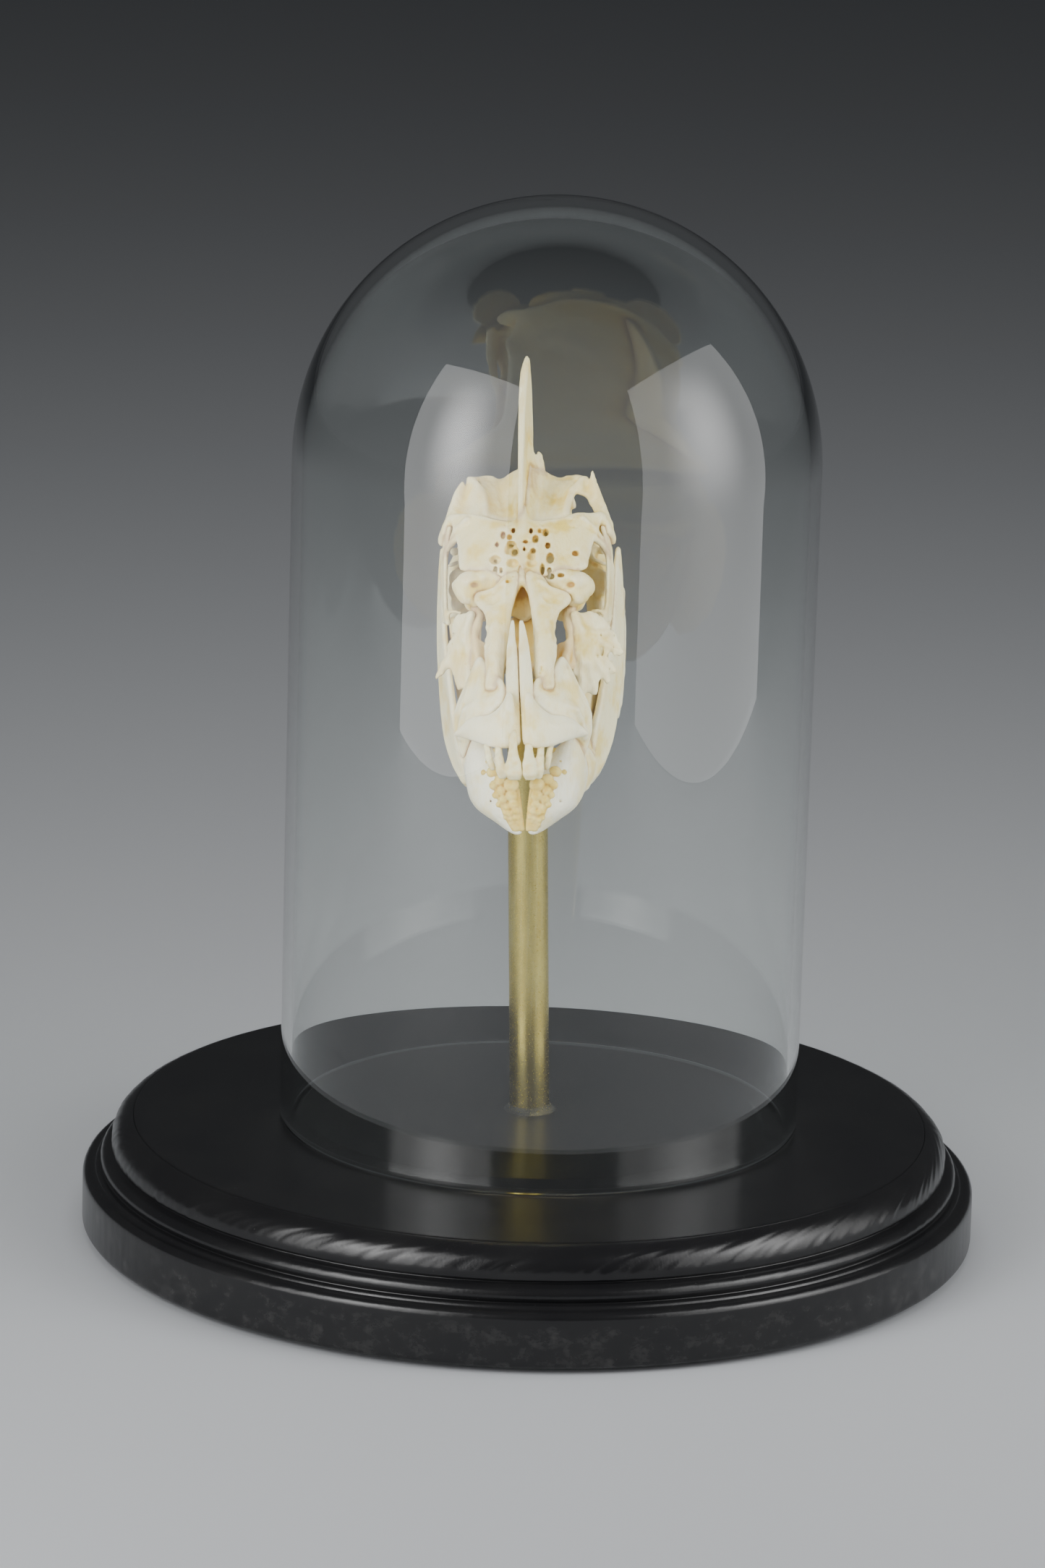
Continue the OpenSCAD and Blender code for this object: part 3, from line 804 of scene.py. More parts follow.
def infraorbital(side):
    """Thin folded struts down the back of the eye."""
    solid = Solid((14, -16, 20), (22, 2, 47), 0.36, side=side)
    front = [(17.4, -8, 44.6, 0.6), (18.3, -7.2, 39.6, 0.5), (18.4, -7.4, 33, 0.45), (18.2, -9, 27, 0.45),
             (17.4, -11.6, 23, 0.6)]
    back = [(18.6, -5, 44, 0.4), (19.4, -3.4, 38, 0.35), (19.3, -2.8, 33, 0.35), (19.2, -4, 27, 0.35),
            (19, -7, 23.4, 0.4)]
    solid.strip(front, back, 0.4)
    solid.bar([(15.4, -9.6, 42.8, 0.6), (17.4, -7.8, 40.2, 0.5), (19, -5, 37.4, 0.5),
               (19.6, -2, 34, 0.4)], 0.6)
    solid.bar([(14.6, -12, 25.2, 0.5), (16.4, -11.6, 25.6, 0.5), (18.2, -9.4, 25, 0.5)], 0.6)
    solid.soften(1)
    return solid.rough((1.0, 1.0, 3.5), 0.10, 71 + side)


def on_snout(balls, side):
    """The upper jaws lean: their lower ends stand to the animal's left."""
    def lean(x, z):
        low = (22 - z) / 27
        return side * (-0.7 + 1.7 * low) * max(0, 1 - abs(x) / 16)

    return [(x + lean(x, z), y, z, r) for x, y, z, r in balls]


def premaxilla(side):
    """A long process up the nose and an arm out over the front teeth."""
    solid = Solid((-2.6, -40, -8), (17, -24, 27), 0.36, side=side)
    inner = [(0.95, -27.6, 23, 0.6), (0.8, -30, 17, 0.65), (0.8, -32.4, 10, 0.65), (0.85, -34.8, 3, 0.65),
             (1.1, -36, -4.2, 0.85)]
    outer = [(1.0, -27.6, 22.8, 0.6), (1.9, -29.4, 17, 0.75), (2.25, -31.8, 10, 0.85), (2.3, -34.2, 4, 0.95),
             (3.2, -36, -4.2, 1.1)]
    solid.strip(on_snout(inner, side), on_snout(outer, side), 0.6)
    behind = [(x - 0.22, y + 1.8, z, 0.66) for x, y, z, _ in inner[1:]]
    solid.strip(on_snout(behind, side), on_snout(inner[1:], side), 0.4)
    stations = [(2.1, -34.8, 6.6, 4.2, -36.4, -4.6), (3.4, -34.8, 4.2, 1, -36.5, -4.9),
                (5.2, -34, 2.4, 0, -35.7, -4.9), (7.2, -32.7, 1.3, -1, -34.4, -4.6),
                (9.4, -31, 1.3, -1.1, -32.6, -3.9), (11.4, -29, 0.6, -1.2, -30.3, -3.3),
                (13, -27.2, -0.9, -1.8, -27.6, -2.8), (14.6, -25.4, -2.3, -2.4, -25.6, -2.5)]
    top = [(x, y - 0.7, z, 0.62) for x, y, z, _, _, _ in stations]
    middle = [(x, (y + front) / 2 - 0.9, mid, 1.15 - 0.04 * x) for x, y, _, mid, front, _ in stations]
    lip = [(x - 0.2, front, low, 0.85 - 0.02 * x) for x, _, _, _, front, low in stations]
    solid.quilt([on_snout(row, side) for row in (top, middle, lip)], 0.8)
    solid.soften(2)
    solid.rough((2, 2, 6), 0.06, 81 + side)
    solid.rough((0.7, 0.7, 2.0), 0.025, 83 + side)
    if side < 0:
        # the socket that is broken open over the root of the inner tooth
        for centre, radii in (((0.9, -38.4, -3.6), (1.0, 1.6, 0.9)), ((0.9, -38.3, -5.4), (1.25, 1.6, 1.6))):
            solid.dig(centre, radii, 0.3)
    return solid


def upper_teeth(side):
    """Three front teeth, each with a round neck and a broad crown; one side's stand closer."""
    solid = Solid((-2.6, -42, -15), (10, -31, 1), 0.26, side=side)
    close = 0.86 if side > 0 else 1
    teeth = [
        [(1.7, -36.4, -1.6, 0.85, 0.8), (1.8, -37.7, -4.6, 0.88, 0.85), (1.85, -38.4, -6.8, 1.05, 0.95),
         (1.85, -38.9, -9.2, 1.65, 1.15), (1.85, -39, -11.2, 1.8, 0.95), (1.85, -38.7, -12.2, 1.5, 0.6)],
        [(5.1, -35.8, -2.6, 0.7, 0.7), (5, -37.2, -5.4, 0.75, 0.74), (4.85, -37.9, -8, 0.98, 0.9),
         (4.5, -38.2, -10.4, 1.15, 0.9), (4.3, -37.9, -11.9, 0.95, 0.6)],
        [(7.7, -34.6, -2.6, 0.72, 0.62), (7.5, -35.6, -5.2, 0.75, 0.62), (7.1, -36, -7.6, 0.8, 0.6),
         (6.6, -36.2, -9.4, 0.75, 0.55), (6.3, -36.1, -10.2, 0.6, 0.45)],
    ]
    for number, rows in enumerate(teeth):
        bare = side < 0 and number == 0
        rows = [(x, y if bare or z < -6 else y + 1.7, z, wide, thick) for x, y, z, wide, thick in rows]
        rows = [(x * close, y, z, wide * (0.5 + close / 2), thick) for x, y, z, wide, thick in rows]
        edges = [on_snout([(x - wide + thick, y, z, thick), (x + wide - thick, y, z, thick)], side)
                 for x, y, z, wide, thick in rows]
        for one, other in zip(edges, edges[1:]):
            solid.strip(one, other, 0.35)
    return solid.soften(1)


def maxilla(side):
    """A broad smooth plate behind the arm, running down beside the mouth."""
    solid = Solid((1.5, -34, -10), (18, -17, 18), 0.36, side=side)
    edge = [(2.8, -32.6, 7.2, 0.6), (4.2, -31, 9.4, 0.7), (7, -28, 11.4, 0.7), (9.2, -24.6, 14.6, 0.6),
            (10.6, -23.6, 12, 0.7), (12.4, -22.4, 8.2, 0.7), (14, -21, 5, 0.7), (15, -20.2, 2, 0.7),
            (15, -19.8, -1.5, 0.7), (14.2, -19.4, -5, 0.6), (13.4, -19.6, -7.6, 0.5),
            (12.2, -20.6, -4.6, 0.6), (12, -27, -0.2, 0.7), (9.4, -30, 1.6, 0.7), (6.8, -32, 2, 0.7),
            (4, -33.6, 4.4, 0.7)]
    solid.fan((8.8, -28.6, 6, 1.0), edge, blend=0.7)
    solid.bar([(4.4, -32.2, 6.4, 0.7), (8, -30.2, 4.2, 0.9), (12.4, -26.4, 3, 0.9), (14, -22, -3, 0.8)], 1.4)
    solid.bar([(9.4, -25, 13.4, 0.7), (11.4, -24.6, 7.6, 0.7), (13.2, -22.6, 2, 0.8)], 1.4)
    arm = [(3.4, -35.4, 5.4, 0.55), (5.2, -34.4, 3.5, 0.55), (7.2, -33.1, 2.4, 0.55), (9.4, -31.4, 2.4, 0.55),
           (11.4, -29.4, 1.6, 0.55), (13, -27.6, 0, 0.5), (14.6, -25.8, -1.4, 0.5)]
    solid.groove(on_snout(arm, side), 0.2)
    solid.soften(2)
    solid.rough((2.2, 2.2, 5), 0.10, 91 + side)
    return solid.rough((0.8, 0.8, 2.2), 0.03, 93 + side)


def palatine(side):
    """A stained rod along the roof of the mouth, with a thin wing on each side."""
    solid = Solid((5, -28, 8), (14, -12, 28), side=side)
    solid.bar([(10.8, -16.4, 26, 1.2), (9.9, -17.6, 24.2, 1.3), (10.5, -19.2, 21, 0.8),
               (10.4, -21, 16.4, 0.7), (9.2, -24.8, 12.4, 1.1)], 0.8)
    solid.strip([(10.6, -17, 25, 0.6), (10.6, -20, 20, 0.5), (9.6, -24, 13, 0.6)],
                [(11.6, -14, 24, 0.4), (11.8, -16, 19, 0.4), (11.4, -20, 12.6, 0.5)], 0.7)
    solid.strip([(10, -20.8, 18.2, 0.6), (9.8, -22.4, 14.6, 0.6), (9, -24.8, 11, 0.7)],
                [(7.2, -18.6, 17.6, 0.4), (6.8, -20, 14, 0.45), (6.4, -22, 10.4, 0.5)], 0.6)
    solid.soften(1)
    return solid.rough((1.3, 1.3, 1.6), 0.24, 101 + side)


def pterygoid(side):
    """A thin wing from the palate back to the jaw joint."""
    solid = Solid((8, -20, -3), (20, 8, 25), side=side)
    rows = [[(10, -17, 22.4, 0.45), (10.2, -17, 15, 0.5), (10.6, -13, 6.4, 0.5)],
            [(12.2, -10.6, 22, 0.35), (12, -9.4, 14, 0.35), (12.2, -7, 4, 0.5)],
            [(14.6, -3, 20, 0.35), (13.8, -2, 11, 0.4), (13.6, -1.6, 0.6, 0.8)],
            [(15.8, 3.6, 19, 0.4), (15, 3, 10, 0.4), (14.4, 2.6, 1.4, 0.7)]]
    solid.quilt(rows, 0.5)
    solid.bar([(10.2, -17.2, 21.6, 0.7), (11.4, -10, 9.4, 0.7), (13.4, -2, 0.6, 0.8)], 0.9)
    solid.soften(1)
    return solid.rough((1.4, 2.2, 2.2), 0.14, 111 + side)


def quadrate(side):
    """A small fan with the knuckle that the lower jaw turns on."""
    solid = Solid((11, -8, -9), (18, 10, 6), side=side)
    solid.fan((13.9, -0.6, -0.6, 0.7), [(13.3, -4.8, -6, 1.1), (13.2, -3.4, -1.4, 0.7),
                                        (13.7, -1.6, 2.8, 0.6), (15, 4.6, 3.6, 0.6), (15.4, 6, 0.6, 0.6),
                                        (14.2, 0, -4.6, 0.8)], blend=0.7)
    solid.bar([(12.6, -4.9, -6.8, 1.0), (14.6, -4.4, -6.6, 1.0)], 0.7)
    solid.bar([(13.6, -4, -5, 1.0), (15.4, 5.4, 1.8, 0.9)], 0.8)
    solid.soften(1)
    return solid.rough((1.3, 1.3, 1.3), 0.13, 121 + side)


def hyomandibula(side):
    """The lobed plate that hangs the jaws from the braincase."""
    solid = Solid((8, -6, 0), (22, 19, 46), side=side)
    rows = [[(12, -1, 42.6, 1.0), (14, 4, 43, 1.0), (14.4, 9, 43.4, 1.0), (13.4, 15, 43.4, 1.2)],
            [(12.6, 0.5, 37, 0.8), (15.6, 1, 36.6, 0.6), (18, 4, 37, 0.6), (17.6, 13.6, 37, 0.8)],
            [(13.2, 1.5, 31, 0.7), (16.2, 0, 30.6, 0.6), (18.6, 4, 30, 0.6), (18.4, 12.4, 30, 0.9)],
            [(14, 1.4, 24, 0.6), (16, 0.8, 22.6, 0.6), (17.8, 4.6, 21, 0.6), (18.4, 11, 20, 0.8)],
            [(13.8, 2.4, 14, 0.5), (15.2, 3, 13, 0.5), (16.2, 5.4, 12.6, 0.6), (17, 9, 12, 0.8)],
            [(14.4, 3.8, 4, 0.6), (14.8, 4.4, 4, 0.6), (15.2, 5.2, 3.6, 0.8), (15.6, 6.8, 3.4, 0.7)]]
    solid.quilt(rows, 0.6)
    solid.bar([(14, 9, 42, 1.1), (18.2, 10.6, 30, 1.1), (18, 9.8, 18, 1.0), (15.4, 5.6, 4, 0.9)], 1.2)
    # the round lobes that face forward through the orbit
    for lump in ((16.2, -1.4, 33.6, 1.9), (16.6, -1.6, 30.6, 1.7), (16.4, -1.2, 27.4, 1.4),
                 (14.4, 0, 34.6, 1.4), (14.4, 0.2, 40, 1.3), (17.2, 0, 39.6, 1.0)):
        solid.ball(lump, 1.6)
    solid.bar([(13.4, 0, 39.4, 0.6), (15.4, -1.2, 37.4, 0.5), (18.4, 0, 36.4, 0.5)], 0.9)
    solid.bar([(14.6, -0.6, 25.4, 0.5), (17.2, -0.6, 25.2, 0.6), (18.8, 2, 24.6, 0.6)], 0.9)
    solid.soften(1)
    solid.rough((1.8, 1.8, 4), 0.14, 131 + side)
    return solid.rough((0.8, 0.8, 1.6), 0.04, 133 + side)


def on_cheek(balls, side):
    """The gill covers stand a little narrower than they are listed, and to the animal's right."""
    return [(x - 0.9 - 0.5 * side, y, z, r) for x, y, z, r in balls]


def preopercle(side):
    """A long crescent down the back of the cheek and forward under it."""
    solid = Solid((10, -6, -16), (24, 18, 43), side=side)
    outer = [(21.3, 13, 40.6, 0.5), (21.3, 13.4, 35, 0.9), (21.4, 13, 27, 1.1), (21.3, 12.4, 19, 1.2),
             (20.8, 11, 11, 1.3), (19.9, 8.6, 3, 1.4), (18.8, 6, -3.4, 1.4), (17, 3, -8.6, 1.3),
             (14.7, -0.8, -12.6, 1.1)]
    inner = [(20.9, 11, 39.6, 0.4), (20.7, 8.4, 35, 0.5), (20.4, 6, 27, 0.55), (19.8, 3.4, 19, 0.6),
             (18.6, 0.4, 11, 0.7), (17.4, -2.4, 3.4, 0.8), (16.3, -3.4, -2, 0.9), (15.4, -3.6, -7, 0.9),
             (13.6, -4, -11.6, 0.8)]
    wing = [(21, 15.4, 39, 0.35), (21.6, 16.6, 34, 0.4), (22, 17, 27, 0.4), (22, 17, 19, 0.4),
            (21.4, 16, 10, 0.45), (20.2, 14, 1.6, 0.45), (18.8, 10.4, -6, 0.45), (16.8, 5.6, -11.4, 0.45),
            (14.6, 0.6, -14, 0.5)]
    outer, inner, wing = (on_cheek(line, side) for line in (outer, inner, wing))
    solid.strip(outer, inner, 0.7)
    solid.strip(outer, wing, 0.7)
    solid.soften(2)
    solid.rough((1.4, 1.6, 10), 0.06, 141 + side)
    return solid.rough((0.8, 0.8, 3), 0.025, 143 + side)


def opercle(side):
    """The thin gill cover, with ridges that spread from its hinge."""
    solid = Solid((18, 8, -2), (26, 33, 40), side=side)

    def on_cover(y, z, r, lift=0.0):
        across = (y - 21) / 11
        up = (z - 19) / 19
        x = 22 - 1.6 * across * across - 1.4 * up * up + lift
        return on_cheek([(x, y, z, r)], side)[0]

    edge = [(14.6, 35), (20.6, 37), (26.6, 34), (30.2, 27.5), (30.6, 19.6), (28.6, 12), (24, 5.4),
            (18.4, 1.6), (14.4, 3.4), (13.8, 9), (14.2, 18), (14.4, 27)]
    hub = on_cover(16.6, 31, 0.7, 0.2)
    middle = on_cover(21, 20, 0.42, 0.1)
    solid.fan(middle, [on_cover(y, z, 0.38) for y, z in edge], blend=0.4)
    for y, z in ((24, 35), (28.6, 30), (30, 22), (27.4, 12), (22.6, 5), (18, 3), (15.4, 6)):
        solid.bar([hub, on_cover((y + 16.6) / 2, (z + 31) / 2, 0.42, 0.3), on_cover(y, z, 0.3)], 1.0)
    solid.soften(1)
    return solid.rough((1.6, 2.2, 2.2), 0.12, 151 + side)


def on_jaw(balls, side):
    """The lower jaws stand to the animal's left, most of all at their tips."""
    return [(x + side * (0.5 + 0.6 * max(0, 1 - abs(x) / 12)), y, z, r) for x, y, z, r in balls]


def articular(side):
    """The hind end of the lower jaw, with the socket for the knuckle."""
    solid = Solid((9, -15, -18), (20, 0, -3), side=side)
    edge = [(12.2, -11, -5, 0.8), (13.6, -6, -6.4, 0.9), (14.6, -4.4, -9.2, 0.8), (14, -4.6, -12.4, 0.7),
            (12.8, -6, -14.6, 0.8), (11.2, -10.4, -15.6, 0.7), (11.4, -12.6, -10, 0.7)]
    solid.fan(on_jaw([(13.4, -8.6, -10.4, 1.0)], side)[0], on_jaw(edge, side), blend=0.8)
    solid.bar(on_jaw([(12.6, -5.4, -7.6, 1.0), (14.2, -4.8, -8.2, 1.0)], side), 0.8)
    solid.soften(3)
    return solid.rough((1.4, 1.8, 1.8), 0.12, 161 + side)


def dentary(side):
    """The jaw bone: a band for the grinding teeth inside, and a smooth lobe outside it."""
    solid = Solid((0, -33, -28), (16, -8, 0), 0.36, side=side)
    rows = [[(6.6, -24.8, -6.6, 0.8), (7.8, -25, -5.8, 0.9), (8.9, -24.6, -5, 1.0),
             (10.2, -23, -3.8, 1.2), (11.7, -20.4, -4.8, 1.0), (12.2, -12.6, -7, 0.8)],
            [(5.2, -26.6, -10.8, 0.9), (6.8, -27, -10.2, 1.0), (8.7, -26.2, -9.8, 1.1),
             (11, -23.8, -9.4, 1.4), (12.6, -20, -9.6, 1.1), (12.8, -11, -10, 0.8)],
            [(2.7, -28.8, -13.6, 0.9), (4.9, -28.6, -13.8, 1.0), (7.2, -27.2, -14, 1.2),
             (10.2, -24, -14.2, 1.5), (12.1, -19.4, -14.6, 1.1), (12.2, -10.6, -14.6, 0.8)],
            [(2.0, -29.2, -16.6, 0.9), (4, -28.9, -16.8, 1.0), (6, -27.8, -17.1, 1.2),
             (8.6, -25.2, -17.6, 1.5), (10.4, -20.8, -18.2, 1.1), (10.6, -12.6, -17.4, 0.8)],
            [(1.3, -29.4, -20, 0.9), (2.7, -29.3, -20.2, 1.0), (4.1, -28.7, -20.4, 1.2),
             (5.6, -26.8, -20.7, 1.3), (6.7, -23.6, -21, 1.0), (7, -19, -20.8, 0.8)],
            [(0.8, -28.8, -24.4, 0.55), (1.3, -28.8, -24.5, 0.7), (1.8, -28.6, -24.4, 0.8),
             (2.5, -27.9, -24, 0.9), (3.4, -26.6, -23.5, 0.9), (3.8, -23.4, -23, 0.8)]]
    solid.quilt([on_jaw(row, side) for row in rows], 0.8)
    solid.soften(3)
    solid.rough((3, 3, 3), 0.05, 171 + side)
    solid.rough((0.9, 0.9, 0.9), 0.02, 173 + side)
    for x, z, across, up in ((7.7, -17.4, 0.4, 0.22), (2.9, -23.1, 0.55, 0.4), (1.9, -24, 0.4, 0.4),
                             (5.9, -21.3, 0.45, 0.16)):
        solid.dig((x + side * 1.1, -30.2 + 0.25 * max(x - 2, 0) ** 1.3, z), (across, 1.5, up), 0.2)
    return solid


def lower_teeth(side):
    """Round grinding teeth in a band, largest near the corner of the mouth."""
    solid = Solid((0, -34, -27), (13, -21, -3), 0.27, side=side)
    large = [(2.8, -13.8, 1.6), (2.75, -16.2, 1.3), (2.4, -18.1, 1.05), (2.0, -19.7, 0.85),
             (5.2, -12.7, 1.35), (4.95, -15.1, 1.1), (4.5, -17, 0.95), (6.9, -11, 1.4), (7.9, -8.9, 1.2),
             (8.3, -6.9, 0.95), (6.7, -13.9, 0.95), (8.7, -11, 0.9), (9.4, -9, 0.75), (6.6, -6.2, 0.75),
             (3.8, -18.8, 0.8)]
    random = np.random.default_rng(7 + side)
    small = [(3.3, -20.1, 0.75), (4.3, -19.9, 0.6), (5.4, -18.2, 0.65), (6.2, -16, 0.75), (1.3, -21, 0.6),
             (2.3, -21.2, 0.65), (3.3, -21.5, 0.6), (4.1, -21.2, 0.45), (1.7, -22, 0.5), (2.6, -22.3, 0.45),
             (1.1, -22.5, 0.45), (1.9, -22.9, 0.4), (1.2, -23.5, 0.4), (3.3, -22.6, 0.4)]
    small = [(x + random.uniform(-0.2, 0.2), z + random.uniform(-0.2, 0.2), r) for x, z, r in small]

    def face_y(x, z):
        y = float(np.interp(z, (-24, -20, -16.6, -13.8, -10.4, -6), (-29.3, -30.1, -30, -29.7, -27.7, -25.7)))
        return y + 0.13 * max(x - 3, 0) ** 1.4

    # the band of enamel that the beads stand on
    rows = [[(x, face_y(x, z) + 0.42, z, 0.7) for x in across]
            for z, across in ((-7.4, (6.8, 7.8, 8.8)), (-11, (5.8, 7, 8.2)), (-13.6, (2.3, 4.6, 6.4)),
                              (-17, (1.5, 3.6, 5.2)), (-20.4, (1.1, 2.8, 4)), (-23.6, (0.75, 1.7, 2.3)))]
    solid.quilt([on_jaw(row, side) for row in rows], 0.3)
    for x, z, r in large + small:
        place = on_jaw([(x, face_y(x, z) + 0.1 - 0.3 * r, z, 1.06 * r)], side)[0]
        solid.bar([place, (place[0], place[1] + 1.4, place[2], r * 0.9)], 0.12)
    return solid


# ---- turned pieces -----------------------------------------------------------------


def arc(centre, radius, start, end, steps):
    """Points on an arc, in degrees."""
    turns = [math.radians(start + (end - start) * i / steps) for i in range(steps + 1)]
    return [(centre[0] + radius * math.cos(t), centre[1] + radius * math.sin(t)) for t in turns]


def filled(outline, spacing):
    """The outline with points no further apart than the spacing."""
    out = [outline[0]]
    for (r0, z0), (r1, z1) in zip(outline, outline[1:]):
        n = max(1, math.ceil(math.hypot(r1 - r0, z1 - z0) / spacing))
        out += [(r0 + (r1 - r0) * i / n, z0 + (z1 - z0) * i / n) for i in range(1, n + 1)]
    return out


def lathe(name, outline, turns, waves=None, matrix=Matrix.Identity(4), closed=False):
    """A turned solid in the frame from its outline of radius and height in mm.

    waves(r, z, angle) gives how far each point moves outward and upward.
    """
    r, z = (np.array(v) for v in zip(*outline))
    angle = np.linspace(0, 2 * math.pi, turns, endpoint=False)
    rr, aa = np.meshgrid(r, angle)
    zz = np.meshgrid(z, angle)[0]
    if waves is not None:
        out, up = waves(rr, zz, aa)
        fade = np.minimum(rr / 2, 1)
        rr, zz = rr + out * fade, zz + up * fade
    places = np.stack([rr * np.cos(aa), rr * np.sin(aa), zz], -1).reshape(-1, 3) * MM
    places = places @ np.array(matrix)[:3, :3].T + np.array(matrix)[:3, 3]
    n = len(r)
    faces = []
    for i in range(turns):
        j = (i + 1) % turns
        for k in range(n if closed else n - 1):
            l = (k + 1) % n
            corners = [i * n + k, j * n + k, j * n + l, i * n + l]
            if r[k] == 0:
                corners = [k, j * n + l, i * n + l]
            elif r[l] == 0:
                corners = [i * n + k, j * n + k, l]
            faces.append(corners)
    mesh = bpy.data.meshes.new(name)
    mesh.from_pydata(places.tolist(), [], faces)
    if len({v for face in faces for v in face}) < len(mesh.vertices):
        work = bmesh.new()
        work.from_mesh(mesh)
        bmesh.ops.delete(work, geom=[v for v in work.verts if not v.link_faces], context="VERTS")
        work.to_mesh(mesh)
        work.free()
    mesh.polygons.foreach_set("use_smooth", np.ones(len(mesh.polygons), bool))
    mesh.update()
    return mesh


def base_outline():
    """The outline in mm from the middle of the underside out, up and back in."""
    foot_r, deck_r, deck_z, boss_z = (v / MM for v in (FOOT_R, DECK_R, DECK_Z, BOSS_Z))
    boss_r, slope, under = BOSS_R / MM, BOSS_SLOPE / MM, BASE_LOW.z / MM
    # the foot, with round edges, and the step on it
    outline = [(0, under), (foot_r - 1.6, under)]
    outline += arc((foot_r - 1.5, under + 1.5), 1.5, -85, 0, 6)
    outline += arc((foot_r - 1.7, 12.2), 1.7, 0, 90, 8)
    outline += [(foot_r - 2.6, 13.9), (foot_r - 2.95, 14.1), (foot_r - 2.95, 14.5), (foot_r - 3.5, 14.6)]
    # the bead, the groove and the ovolo
    outline += arc((97.3, 16.2), 1.9, -50, 75, 12)
    outline += [(96.1, 18.4), (95.9, 18.8)]
    outline += arc((deck_r - 1.3, 20.2), 6.2, -11, 78, 24)
    # the deck and the boss
    outline += arc((deck_r - 0.5, deck_z - 0.5), 0.5, 10, 90, 5)
    outline += [(deck_r - 1.2, deck_z), (boss_r + 0.4, deck_z), (boss_r, deck_z + 0.06)]
    outline += arc((boss_r - slope - 0.45, boss_z - 0.5), 0.5, 45, 90, 5)
    outline += [(0, boss_z)]
    return filled(outline, 1.2)


def base_waves(r, z, angle):
    """Ripples in the lacquer: strongest on the ovolo, faint on the deck, fine on the boss's wall."""
    moulding_r, deck_r, wall_r, ovolo_z, ovolo_tall = 90, 91, 54, 22.6, 3.4
    around = angle * r
    ring = np.stack([np.cos(angle) * r, np.sin(angle) * r, z], -1)
    unrolled = np.stack([around, z * 0.6, r * 0.6], -1)
    # where each kind of ripple is
    upper = np.clip((z - 20) / 3, 0, 1)
    moulding = np.clip((r - moulding_r) / 3, 0, 1)
    ovolo = np.exp(-(((z - ovolo_z) / ovolo_tall) ** 2)) * moulding
    deck = np.clip((deck_r - r) / 2, 0, 1) * upper
    wall = np.clip(1 - np.abs(r - wall_r) / 1.6, 0, 1) * upper
    # how deep it is
    ripple = value_noise(unrolled, (2.2, 9, 9), 201) * 0.5
    ripple += value_noise(unrolled, (0.9, 5, 5), 202) * 0.3
    ripple += value_noise(ring, (14, 14, 9), 203)
    out = ripple * (0.05 * moulding + 0.2 * ovolo)
    up = deck * 0.02 * value_noise(ring, (16, 16, 60), 204)
    out = out + wall * 0.10 * value_noise(np.stack([around, z, r], -1), (0.8, 0.7, 0.8), 205)
    return out, up


def make_base(lacquer):
    """The turned disc, with its brush marks in the mesh."""
    mesh = lathe("base_turned", base_outline(), 900, base_waves)
    add_piece(mesh, ["base"], "lacquered_wood", STAND, lacquer)


def make_felt(felt):
    """The sheet under the base, a little furry at its edge and underneath."""
    r, top = FELT_HIGH.x / MM, FELT_HIGH.z / MM
    outline = filled([(0, top), (r - 0.3, top), (r, top - 0.3), (r, 0.25), (r - 0.25, 0), (0, 0)], 1.6)[::-1]

    def fuzz(rr, zz, aa):
        places = np.stack([rr * np.cos(aa), rr * np.sin(aa), zz], -1)
        lumps = value_noise(places, (1.5, 1.5, 1.5), 211)
        return 0.12 * lumps * (rr > r - 1), 0.09 * (1 + lumps) * (zz < 0.2)

    add_piece(lathe("felt_sheet", outline, 360, fuzz), ["felt_pad"], "felt", STAND, felt)


def make_glass(glass):
    """The dome, with a rounded rim and slight waves that bend the reflections."""
    radius, wall = GLASS_R / MM, GLASS_T / MM
    inside = radius - wall
    rim_z = GLASS_LOW.z / MM + wall / 2
    spring = GLASS_HIGH.z / MM - radius
    wall_steps, crown_steps = 60, 48
    outline = arc((radius - wall / 2, rim_z), wall / 2, -180, 0, 12)
    outline += [(radius, z) for z in np.linspace(rim_z + 2, spring - 2, wall_steps)]
    outline += arc((0, spring), radius, 0, 90, crown_steps)[:-1] + [(0, spring + radius)]
    outline += [(0, spring + inside)] + arc((0, spring), inside, 90, 0, crown_steps)[1:]
    outline += [(inside, z) for z in np.linspace(spring - 2, rim_z + 2, wall_steps)]

    def waves(rr, zz, aa):
        places = np.stack([np.cos(aa) * 40, np.sin(aa) * 40, zz * 0.5], -1)
        return 0.09 * value_noise(places, (26, 26, 30), 221) - 0.05, 0 * rr

    mesh = lathe("glass_bell", outline, 256, waves, Matrix.Translation((GLASS_X, 0, 0)), closed=True)
    add_piece(mesh, ["glass_dome"], "glass", DOME, glass)


